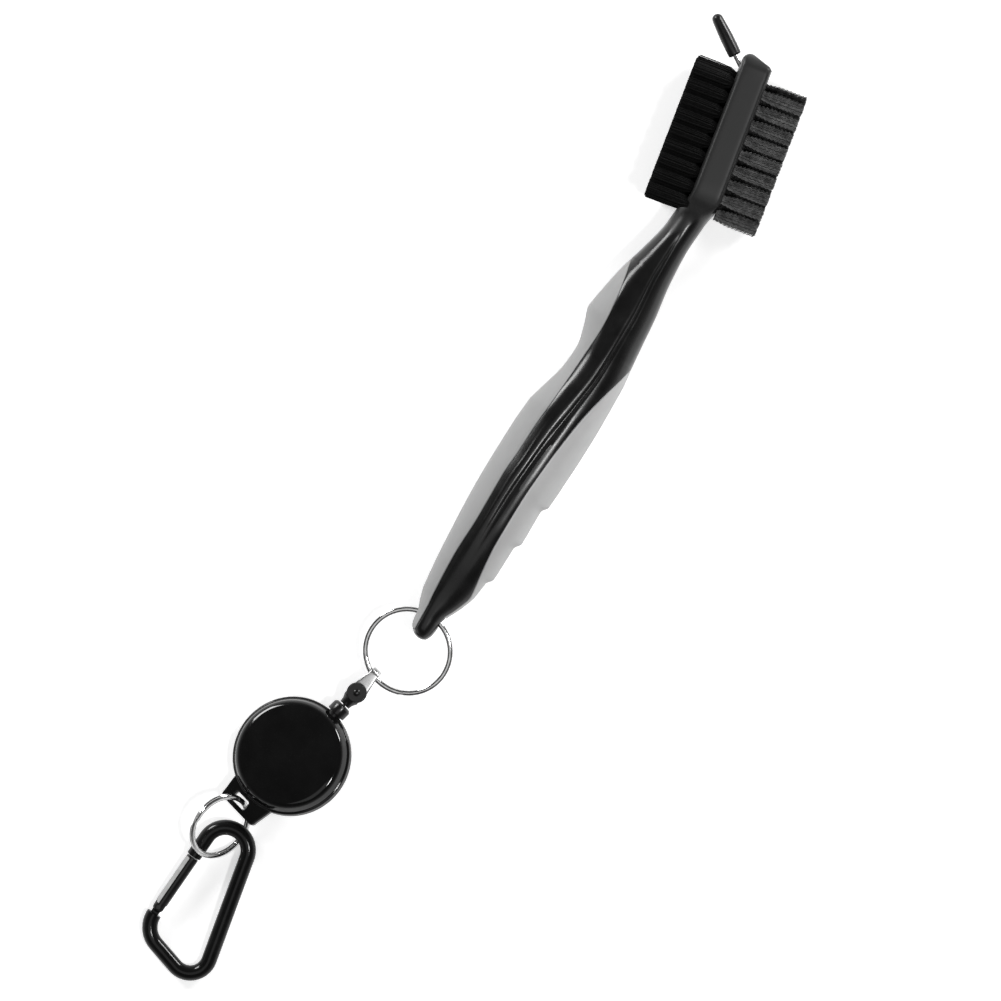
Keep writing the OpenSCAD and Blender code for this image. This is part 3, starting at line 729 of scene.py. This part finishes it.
def body_loop(s):
    """Section of the handle: the two pads' beds, and the ribbon between them on both sides."""
    row = handle_row(s)
    wire_half, wire_open = band(WIRE_SEAM, s, row, False)
    nylon_half, nylon_open = band(NYLON_SEAM, s, row, True)
    floor = PAD_T - PAD_SINK
    columns = [(wire_half * (2 * k / BAND_SIDES - 1), floor * wire_open)
               for k in range(BAND_SIDES + 1)]
    start = wire_half
    end = 180 - nylon_half
    line = seam_angle(row, through(RIBBON_LINE, s))
    line = min(max(line, start + LINE_MARGIN), end - LINE_MARGIN)
    bevel = smooth_step((BEVEL_ENDS - s) / BEVEL_FADE)
    near = ribbon_edge(wire_half, wire_open, 0)
    far = ribbon_edge(nylon_half, nylon_open, bevel)
    upper = [(start + step, inset) for step, inset in near]
    first, last = start + near[-1][0], end - far[-1][0]
    for k in range(1, RIBBON_SIDES):
        share = 2 * k / RIBBON_SIDES - 1
        side = last - line if share > 0 else line - first
        angle = line + side * signed_power(share, LINE_CROWD)
        upper.append((angle, ribbon_line(s, angle - line)))
    upper += [(end - step, inset) for step, inset in reversed(far)]
    columns += upper
    columns += [(end + nylon_half * 2 * k / BAND_SIDES, floor * nylon_open)
                for k in range(BAND_SIDES + 1)]
    columns += [(360 - angle, inset) for angle, inset in reversed(upper)]
    return [on_row(row, angle, inset) for angle, inset in columns]


def pad_loop(s, seam, on_nylon_side):
    """Section of a pad: its outer side from lip to lip, and its inner side back."""
    row = handle_row(s)
    half, opened = band(seam, s, row, on_nylon_side)
    middle = 180 if on_nylon_side else 0
    squeeze = min(half / FULL_EDGE, 1)
    lips = [(half - step * squeeze, inset) for step, inset in PAD_LIP]
    outer = [(-angle, inset) for angle, inset in lips]
    inner_half = lips[-1][0]
    for k in range(1, 2 * BAND_SIDES):
        outer.append((inner_half * (k / BAND_SIDES - 1), 0))
    outer += [(angle, inset) for angle, inset in reversed(lips)]
    edge = lips[0][0]
    inner = [(edge * (1 - k / BAND_SIDES), PAD_T) for k in range(2 * BAND_SIDES + 1)]
    scale = max(opened, 0.05)
    return [on_row(row, middle + angle, inset * scale) for angle, inset in outer + inner]


def spaced(low, high, step):
    """Evenly spaced places from low to high, no further apart than step."""
    count = math.ceil((high - low) / step)
    return [low + (high - low) * k / count for k in range(count + 1)]


def eye_cutter():
    """The round hole that the key ring passes through, right across the handle."""
    return loft([[(x, EYE.y + EYE_R * c, EYE_R * d) for c, d in circle(48)] for x in (-20, 20)])


def pick_slot_cutter():
    """The fan that the pick swings in, as wide as the slot is high at both ends of its swing."""
    half, reach, hub, gap = 1.0, 16, 2.5, 0.05
    low = 90 + PICK_ANGLE + PICK_SWING[0]
    high = 90 + PICK_ANGLE + PICK_SWING[1]
    corner = math.degrees(math.asin(half / hub))
    far = math.degrees(math.asin(half / reach))
    arc = spaced(low - far, high + far, 8)
    outline = [polar(reach, a) for a in arc]
    outline += [polar(hub, a) for a in spaced(high + corner, 360 + low - corner, 12)]
    return prism(outline, gap - half, half - gap)


def make_handle():
    """The moulding, whose rows are closest at its rounded ends, and its two soft pads."""
    top = SLAB_AT[1] + SLAB_TOP
    end_rows = [-4.5, -4.35, -4.1]
    corner_rows = spaced(top - SLAB_CORNER, top - 0.02, 0.2)
    rows = end_rows + spaced(-3.8, top - SLAB_CORNER - 0.2, ROW_STEP) + corner_rows
    body = piece("handle_moulding", *loft([body_loop(s) for s in rows]), brush_frame, None,
                 "handle_plastic", ["handle_body"], look=handle_look())
    cut(body, *eye_cutter(), brush_frame)
    slot_frame = at(*pick_at) @ turn(SLAB_LEAN, "Z")
    cut(body, *pick_slot_cutter(), slot_frame)
    shade(body, 32)
    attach(body, "brush")
    for name, seam, on_nylon_side, slot in (
        ("grip_pad_nylon_side", NYLON_SEAM, True, "nylon_side_pad"),
        ("grip_pad_wire_side", WIRE_SEAM, False, "wire_side_pad"),
    ):
        rows = spaced(seam[0][0] + 0.15, seam[-1][0] - 0.15, ROW_STEP)
        shape = loft([pad_loop(s, seam, on_nylon_side) for s in rows])
        pad = piece(name + "_soft", *shape, brush_frame, None, slot, [name])
        if on_nylon_side:
            cut(pad, *eye_cutter(), brush_frame)
        shade(pad, 30)
        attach(pad, "brush")


def handle_look():
    """The handle's plastic: glossy on the grip, and satin on the head and in a V at its foot."""
    made = looks["handle_plastic"]
    tree, shader, parts = open_look(made)
    gloss = shader.inputs["Roughness"].links[0].from_node
    apex = brush_frame @ SATIN_FOOT * MM
    aside = math_node(tree, "SUBTRACT", parts, "X", apex.x)
    spread = math_node(tree, "ABSOLUTE", aside, "Value")
    above = math_node(tree, "MULTIPLY_ADD", spread, "Value", -SATIN_RISE)
    link(tree, parts, "Y", above, 2)
    on_head = ranged(tree, above, "Value", apex.y, apex.y + SATIN_FADE, 0, 1)
    duller = math_node(tree, "MULTIPLY_ADD", on_head, "Result", SATIN_ROUGHER)
    link(tree, gloss, "Result", duller, 2)
    link(tree, duller, "Value", shader, "Roughness")
    old = shader.inputs["Base Color"].links[0].from_node
    paler = tree.nodes.new("ShaderNodeMix")
    paler.data_type = "RGBA"
    link(tree, on_head, "Result", paler, "Factor")
    link(tree, old, "Color", paler, "A")
    fill(paler, {"B": (*grey(SATIN_GREY), 1)})
    link(tree, paler, "Result", shader, "Base Color")
    return made


make_handle()


# ---- bristles ----
TUFT_ROWS = 9
TUFT_COLUMNS = 4
ROW_PITCH = 4.25
COLUMN_PITCH = 5
FIRST_ROW = 28.4
BRISTLE_L = 11.5
# How deep the bristles sink in the head, and each kind's strands in a tuft and their radius
ROOT = 0.4
NYLON_STRANDS, NYLON_R = 56, 0.165
WIRE_STRANDS, WIRE_R = 42, 0.13
# Radius of a tuft where it leaves the head, how much wider it gets and by what share of its length
NYLON_TUFT_R, NYLON_FLARE, NYLON_FLARED = 1.15, 0.8, 0.26
WIRE_TUFT_R, WIRE_FLARED = 1.28, 0.4
CRIMPS = 21
# Brightness of the wires in the middle of the block, and the depths between which it rises to full
INNER_SHADE = 0.6
SHADED, LIT = 4, 7.5
GOLDEN_ANGLE = math.radians(137.508)


def tuft_centres(rows):
    """Places of the tufts in some rows, whose columns are staggered by half a row."""
    for i in rows:
        for j in range(TUFT_COLUMNS):
            y = FIRST_ROW - ROW_PITCH * (i + (j % 2 - 0.5) / 2)
            yield y, COLUMN_PITCH * (j - (TUFT_COLUMNS - 1) / 2)


def disc_places(count):
    """Evenly spread places in a unit disc."""
    return [(math.sqrt((k + 0.5) / count) * math.cos(k * GOLDEN_ANGLE),
             math.sqrt((k + 0.5) / count) * math.sin(k * GOLDEN_ANGLE)) for k in range(count)]


def strand(route, radius, sides):
    """Points and faces of one bristle."""
    loops = []
    for p, ahead in zip(route, route[1:] + [route[-1] * 2 - route[-2]]):
        along = (ahead - p).normalized()
        normal = along.orthogonal().normalized()
        side = along.cross(normal)
        loops.append([p + (normal * c + side * d) * radius for c, d in circle(sides)])
    return loft(loops)


def nylon_tuft(y, z, draws):
    """Straight strands that flare out from the hole."""
    for u, w in disc_places(NYLON_STRANDS):
        reach = BRISTLE_L + draws.uniform(-0.15, 0.1) - 0.6 * u ** 4
        drift = Vector((0, draws.uniform(-0.1, 0.1), draws.uniform(-0.1, 0.1)))
        route = []
        for share in (0, 0.08, 0.2, 0.5, 1):
            spread = NYLON_TUFT_R * (1 + NYLON_FLARE * smooth_step(share / NYLON_FLARED))
            route.append(Vector((ROOT - SLAB_T / 2 - (reach + ROOT) * share, y + u * spread,
                                 z + w * spread)) + drift * share)
        yield strand(route, NYLON_R, 5)


def wire_tuft(y, z, draws):
    """Crimped wires, whose zigzags lie side by side within a tuft."""
    lean = draws.uniform(-0.1, 0.1)
    for u, w in disc_places(WIRE_STRANDS):
        reach = BRISTLE_L + draws.uniform(-0.3, 0.1)
        tilt = draws.uniform(-0.4, 0.4)
        flare = draws.uniform(0.28, 0.42)
        swing = draws.uniform(0.09, 0.15)
        route = []
        for k in range(CRIMPS + 1):
            share = k / CRIMPS
            aside = swing if k % 2 else -swing
            spread = WIRE_TUFT_R * (1 + flare * smooth_step(share / WIRE_FLARED))
            route.append(Vector((SLAB_T / 2 - ROOT + (reach + ROOT) * share,
                                 y + u * spread + aside * math.cos(tilt) + lean * share,
                                 z + w * spread + aside * math.sin(tilt))))
        yield strand(route, WIRE_R, 3)


def make_bristles():
    sets = {"end": [0, TUFT_ROWS - 1], "middle": list(range(1, TUFT_ROWS - 1))}
    for seed, (kind, make, slot) in enumerate((("nylon", nylon_tuft, "nylon_bristle"),
                                               ("wire", wire_tuft, "wire_bristle"))):
        for part, rows in sets.items():
            draws = random.Random(f"{kind}_{part}_{seed}")
            strands = [one for y, z in tuft_centres(rows) for one in make(y, z, draws)]
            piece(f"{kind}_bristles_{part}", *merge(*strands), slab_frame, "brush", slot,
                  [f"{kind}_rows_{part}"], sharp=60)


def darken_inside(look):
    """Makes a bristle look darker towards the block's mid plane, where little light gets in."""
    tree, shader, parts = open_look(look)
    height = math_node(tree, "SUBTRACT", parts, "Z", eye.z * MM)
    away = math_node(tree, "ABSOLUTE", height, "Value")
    lit = ranged(tree, away, "Value", SHADED * MM, LIT * MM, INNER_SHADE, 1)
    old = shader.inputs["Base Color"].links[0].from_node
    scaled = tree.nodes.new("ShaderNodeVectorMath")
    scaled.operation = "SCALE"
    link(tree, old, "Color", scaled, 0)
    link(tree, lit, "Result", scaled, "Scale")
    link(tree, scaled, "Vector", shader, "Base Color")


darken_inside(looks["wire_bristle"])
make_bristles()


# ---- groove pick's cap ----
def make_cap():
    """A tapered cap with a round end and a blind bore for the pick."""
    length, base_r, end_r = 12.2, 1.78, 1.48
    bore_r, bore_l = 0.72, 9
    profile = [(0, bore_l), (bore_r, bore_l), (bore_r, 0.25), (bore_r + 0.2, 0), (base_r - 0.35, 0),
               (base_r - 0.05, 0.3), (base_r, 1.2), (base_r + 0.02, 5.5), (end_r + 0.1, 9.6)]
    for k in range(9):
        radius, rise = polar(end_r, 90 * k / 8)
        profile.append((radius, length - end_r + rise))
    place = pick_frame @ at(0, PICK_BASE, 0) @ turn(-90, "X")
    piece("pick_cap_moulding", *lathe(profile, 40), place, "cap", "cap_plastic", ["pick_cap"])


make_cap()


# ---- split rings ----
# A split ring's wire: half its thickness, the step between its two turns, and their angle in all
WIRE_HALF = 0.345
TURN_STEP = 0.75
WIRE_SWEEP = 720 * 0.994
# The step from one turn to the other: the angle where it starts, and how far round it goes
STEP_FROM, STEP_OVER = 300, 120


def split_ring(name, radius, place, body, node):
    """Two turns of flattened wire side by side, with a step where one passes to the other."""
    steps, sides = 240, 14
    loops = []
    for i in range(steps + 1):
        angle = WIRE_SWEEP * i / steps + 2
        rise = TURN_STEP * (smooth_step((angle - STEP_FROM) / STEP_OVER) - 0.5)
        a = math.radians(angle)
        taper = min(1, 0.55 + 0.45 * min(i, steps - i) / 2)
        loop = []
        for c, d in circle(sides):
            across = RING_HALF * taper * signed_power(c, 0.9)
            up = WIRE_HALF * taper * signed_power(d, 0.9)
            reach = radius + across
            loop.append((reach * math.cos(a), reach * math.sin(a), up + rise))
        loops.append(loop)
    piece(name, *loft(loops), place, body, "ring_chrome", [node], sharp=50)


split_ring("key_ring_wire", KEY_RING_R, key_ring_frame, "key_ring", "key_ring")
split_ring("clip_ring_wire", CLIP_RING_R, clip_ring_frame, "clip_ring", "clip_ring")


# ---- bail ----
RIVET_AT = 24.3
BAIL_EYE = Vector((-0.26, 30.74, -0.75))
BAIL_T = 0.6
BAIL_BEND_R = 1.35 + BAIL_T / 2
# Gap between the strap's legs, how far they go past the rivet, and the round end's half width
LEG_GAP = 0.5
LEG_END = 1.88
LEG_R = 1.9
# Half width of the strap: (distance from the reel's centre, half width)
BAIL_WIDTH = [(24.3, 1.9), (25.4, 2.3), (26.7, 2.8), (28.4, 2.05), (30.1, 1.3), (33, 1.3)]


def bail_route():
    """Middle of the strap in (y, z), from one leg's end round the ring to the other's."""
    leg_z = LEG_GAP / 2 + BAIL_T / 2
    leg = [RIVET_AT - LEG_END + 0.2 * k for k in range(17)]
    route = [(y, leg_z) for y in leg]
    for a in [90 - 7.5 * k for k in range(25)]:
        y, z = polar(BAIL_BEND_R, a)
        route.append((BAIL_EYE.y + y, BAIL_EYE.z + z))
    return route + [(y, -leg_z) for y in reversed(leg)]


def make_bail():
    route = bail_route()
    loops = []
    for i, (y, z) in enumerate(route):
        ahead = route[min(i + 1, len(route) - 1)]
        behind = route[max(i - 1, 0)]
        along = Vector((0, ahead[0] - behind[0], ahead[1] - behind[1])).normalized()
        out = along.cross(Vector((1, 0, 0)))
        width = through(BAIL_WIDTH, y)
        if y < RIVET_AT:
            width = math.sqrt(max(LEG_R ** 2 - (y - RIVET_AT) ** 2, 0.04))
        middle_x = BAIL_EYE.x * smooth_step((y - RIVET_AT) / 6)
        loop = []
        for c, d in circle(20):
            x = middle_x + width * signed_power(c, 0.4)
            loop.append(Vector((x, y, z)) + out * BAIL_T / 2 * signed_power(d, 0.6))
        loops.append(loop)
    piece("bail_strap", *loft(loops), chain_frame, "bail", "bail_chrome", ["bail"], sharp=50)


make_bail()


# ---- reel ----
REEL_R = 16.2
FACE_R = 14.7
REEL_FACE = 4.7
REEL_BACK = -4.2
RIM_H = 1.6
SHELL_T = 1.2


def dome_profile(face, sign):
    """Outer and inner outline of one shell, from its axis out to the split and back."""
    outer = softened([(0, face + 0.1 * sign), (FACE_R - 6.5, face + 0.02 * sign),
                      (FACE_R - 0.4, face - 0.42 * sign), (FACE_R + 0.65, (RIM_H + 0.3) * sign),
                      (FACE_R + 0.72, (RIM_H + 0.02) * sign),
                      (REEL_R - 0.15, (RIM_H - 0.2) * sign), (REEL_R, 0.25 * sign),
                      (REEL_R - 0.25, 0.02 * sign)], 1.5, 9)
    inner = [(FACE_R - SHELL_T, 0.02 * sign), (FACE_R - SHELL_T, (RIM_H + 0.4) * sign),
             (FACE_R - 2.8, face - 1.8 * sign), (0, face - 1.1 * sign)]
    return outer + inner


def plate(outline, hole, low, high, edge):
    """Points and faces of a flat plate with a hole and rounded edges."""
    curve = bpy.data.curves.new("plate", "CURVE")
    curve.dimensions = "2D"
    curve.fill_mode = "BOTH"
    curve.extrude = (high - low) / 2 - edge
    curve.bevel_depth = edge
    curve.bevel_resolution = 3
    curve.offset = -edge
    for loop in (outline, hole):
        spline = curve.splines.new("POLY")
        spline.points.add(len(loop) - 1)
        for point, (x, y) in zip(spline.points, loop):
            point.co = (x, y, 0, 1)
        spline.use_cyclic_u = True
    holder = add_object("plate", curve)
    flat = finished_mesh(holder)
    bpy.data.objects.remove(holder)
    points = [(v.co.x, v.co.y, v.co.z + (low + high) / 2) for v in flat.vertices]
    faces = [tuple(f.vertices) for f in flat.polygons]
    bpy.data.meshes.remove(flat)
    return points, faces


def lug_shape():
    """The reel's lug and its slot, in the reel's own plane."""
    end, inner = -20.8, -13.2
    right = [(7.4, inner), (7.1, -14.3), (6.3, end + 1.6)]
    corner = [(6.3 - 1.2 + 1.2 * math.cos(a), end + 1.2 - 1.2 * math.sin(a))
              for a in (math.pi / 2 * k / 6 for k in range(7))]
    half = right + corner
    outline = half + [(-x, y) for x, y in reversed(half)]
    slot = softened([(-1.1, -19.5), (1.2, -19.5), (1.2, -16.8), (-3.4, -16.8), (-3.4, -19.5),
                     (-1.1, -19.5)], 0.6)
    return outline, slot[:-1]


def make_reel():
    piece("reel_front_shell", *lathe(dome_profile(REEL_FACE, 1), 144), reel_frame, "reel",
          "reel_gloss", ["reel_front_cover"])
    outline, slot = lug_shape()
    lug = plate(outline, slot, -1.1, 1.1, 0.35)
    shell = lathe(dome_profile(REEL_BACK, -1), 144)
    piece("reel_back_shell", *merge(shell, lug), reel_frame, "reel", "reel_gloss",
          ["reel_back_cover"])


make_reel()


# ---- cord ----
CORD_R = 0.45
DRUM_R = 7.4
LAYER_STEP = 0.78
LAYER_W = 2.8
GUIDE_MOUTH = 12.5
KNOT_AT = 21.3
# Radius of the wound cord's outside, where the lead leaves it
WOUND_R = 9.8


def make_wound_cord():
    """The cord's turns on the spool, laid side by side in layers."""
    layers, turns_each, steps = 3, 3.5, 28
    route = []
    for layer in range(layers):
        radius = DRUM_R + 0.05 + CORD_R + layer * LAYER_STEP
        for i in range(int(turns_each * steps)):
            share = i / (turns_each * steps - 1)
            across = (share - 0.5) * (1 if layer % 2 == 0 else -1) * LAYER_W
            angle = 2 * math.pi * (turns_each * layer + turns_each * share)
            route.append(Vector((radius * math.cos(angle), radius * math.sin(angle), across)))
    shape = loft(tube_loops(route, CORD_R * 0.86, 8))
    piece("cord_on_spool", *shape, reel_frame, "spool", "cord_nylon", ["wound_cord"])


def make_cord_lead():
    """The cord on a tangent from the spool to the guide's mouth, then straight to the knot."""
    lead_r = WOUND_R + CORD_R + 0.05
    lift = math.acos(lead_r / GUIDE_MOUTH)
    start = Vector((lead_r * math.sin(lift), lead_r * math.cos(lift), 0))
    mouth = Vector((0, GUIDE_MOUTH, 0))
    route = [tuple(start.lerp(mouth, k / 6)) for k in range(6)]
    route += [tuple(mouth.lerp(start, 0.06)), tuple(mouth + Vector((0, 0.5, 0)))]
    route += [(0, y, 0) for y in spaced(GUIDE_MOUTH + 1, KNOT_AT - 0.9, 0.25)]
    shape = loft(tube_loops(route, CORD_R, 12))
    lead = piece("cord_from_spool", *shape, reel_frame, None, "cord_nylon", ["cord_lead"])
    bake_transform(lead)


make_wound_cord()
make_cord_lead()


# ---- carabiner ----
# Centres and radii of the three bends, clockwise from the top
BENDS = [(-16.2, -79.7, 6.1), (-10.6, -108.6, 5.4), (-17.5, -104.7, 6.8)]
NOSE_L = 6.5
GATE_R = 1.7
GATE_PIN_AT = 2.2
GATE_PIN_R = 0.6
# The frame's tongue inside the gate, and the slit in the gate that it swings in
TONGUE_R = 1.1
TONGUE_HALF = 0.6
SLIT_HALF = 0.75
SLIT_END = 3.5
# The bare flat along the gate: its normal (outwards, up), its distance from the gate's middle as a
# share of the gate's radius, and the angles from and to which it is bare
FLAT_FACES = (0.8, 0.6)
FLAT_AT = 0.86
FLAT_FROM, FLAT_TO = 355, 70


def run_normal(a, b):
    """Outward normal of the straight run from one bend to the next, going clockwise."""
    reach = math.hypot(b[0] - a[0], b[1] - a[1])
    return math.degrees(math.atan2(b[1] - a[1], b[0] - a[0]) + math.acos((a[2] - b[2]) / reach))


def on_bend(bend, angle):
    x, y = polar(bend[2], angle)
    return Vector((bend[0] + x, bend[1] + y, 0))


normals = [run_normal(BENDS[i], BENDS[(i + 1) % 3]) for i in range(3)]
gate_foot = on_bend(BENDS[2], normals[2])
gate_head = on_bend(BENDS[0], normals[2])
gate_up = (gate_head - gate_foot).normalized()
gate_length = (gate_head - gate_foot).length - NOSE_L
gate_turn = math.degrees(math.atan2(gate_up.y, gate_up.x)) - 90


def bend_route(bend, from_angle, to_angle):
    sweep = (from_angle - to_angle) % 360
    return [on_bend(bend, from_angle - sweep * k / 40) for k in range(41)]


def make_carabiner():
    """The bent rod, from the nose above the gate round to the gate's foot, and its tongue."""
    route = [gate_head - gate_up * (NOSE_L - 0.2), gate_head - gate_up * NOSE_L / 2]
    for i in range(3):
        route += bend_route(BENDS[i], normals[i - 1], normals[i])
    nose = [gate_head - gate_up * (NOSE_L - 0.2 - 0.35 * (1 - math.cos(a))) for a in (0.3, 0.9)]
    ends = [ROD_R * 0.86, ROD_R * 0.97]
    route = [route[0], *nose, *route[1:]]
    sizes = [ROD_R * 0.7] + ends + [ROD_R] * (len(route) - 3)
    tail = [route[-1] + gate_up * step for step in (0.04, 0.12)]
    rod = loft(tube_loops(route + tail, sizes + [ROD_R * 0.97, ROD_R * 0.9], 28))
    tongue = []
    for z in (-TONGUE_HALF, TONGUE_HALF):
        side = Vector((gate_up.y, -gate_up.x, 0))
        rim = [gate_foot + side * TONGUE_R * math.cos(a)
               + gate_up * (GATE_PIN_AT + TONGUE_R * math.sin(a))
               for a in (math.pi * k / 10 for k in range(11))]
        rim += [gate_foot - side * TONGUE_R - gate_up * 0.3,
                gate_foot + side * TONGUE_R - gate_up * 0.3]
        tongue.append([p + UP * z for p in rim])
    piece("carabiner_rod", *merge(rod, loft(tongue)), carabiner_frame, "carabiner",
          "carabiner_paint", ["carabiner_body"], sharp=40)


def make_gate():
    """The gate's tube, round at its hinge, with a bare flat along its outer side."""
    side = Vector((-gate_up.y, gate_up.x, 0))
    sides = 36
    places = []
    for k in range(1, 9):
        drop, size = polar(1, 90 * k / 8)
        places.append((GATE_PIN_AT - GATE_R * drop, size))
    places += [(y, 1) for y in spaced(GATE_PIN_AT + 0.4, gate_length - 0.6, 0.6)]
    places += [(gate_length - 0.25, 0.985), (gate_length - 0.04, 0.9)]
    first, last = 9, len(places) - 3
    loops = []
    for i, (y, size) in enumerate(places):
        loop = []
        for out, up in circle(sides):
            facing = out * FLAT_FACES[0] + up * FLAT_FACES[1]
            flat = FLAT_AT / facing if facing > FLAT_AT and first <= i <= last else 1
            reach = GATE_R * size * flat
            loop.append(gate_foot + gate_up * y + side * out * reach + UP * up * reach)
        loops.append(loop)
    gate = piece("gate_tube", *loft(loops), carabiner_frame, None, "gate_paint",
                 ["carabiner_gate"])
    gate.data.materials.append(looks["strip_steel"])
    for face in gate.data.polygons[:(len(loops) - 1) * sides]:
        ring, k = divmod(face.index, sides)
        middle = 360 * (k + 0.5) / sides
        if first <= ring < last and (middle < FLAT_TO or middle > FLAT_FROM):
            face.material_index = 1
    across = carabiner_frame @ at(*gate_foot) @ turn(gate_turn, "Z")
    slit = [(-3, -1), (3, -1), (3, SLIT_END), (-3, SLIT_END)]
    cut(gate, *prism(slit, -SLIT_HALF, SLIT_HALF), across)
    bore = [(GATE_PIN_R * c, GATE_PIN_AT + GATE_PIN_R * d) for c, d in circle(24)]
    cut(gate, *prism(bore, -4, 4), across)
    shade(gate, 28)
    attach(gate, "gate")


make_carabiner()
make_gate()


# ---- what stays as the CAD made it ----
def soften_edges(node, width):
    """Rounds a CAD piece's edges a little, once its double points are welded."""
    weld = frame["nodes"][node].modifiers.new("weld", "WELD")
    weld.merge_threshold = 0.000002
    bevel = frame["nodes"][node].modifiers.new("edges", "BEVEL")
    bevel.width = width * MM
    bevel.segments = 2
    bevel.limit_method = "ANGLE"
    bevel.angle_limit = math.radians(40)


for node, thing in frame["nodes"].items():
    clothe(thing, looks[slot_of[node]])
for node in ("bail_rivet", "gate_pivot_pin"):
    clothe(frame["nodes"][node], looks["rivet_black"])
for node in ("cord_end", "cord_guide"):
    soften_edges(node, 0.12)
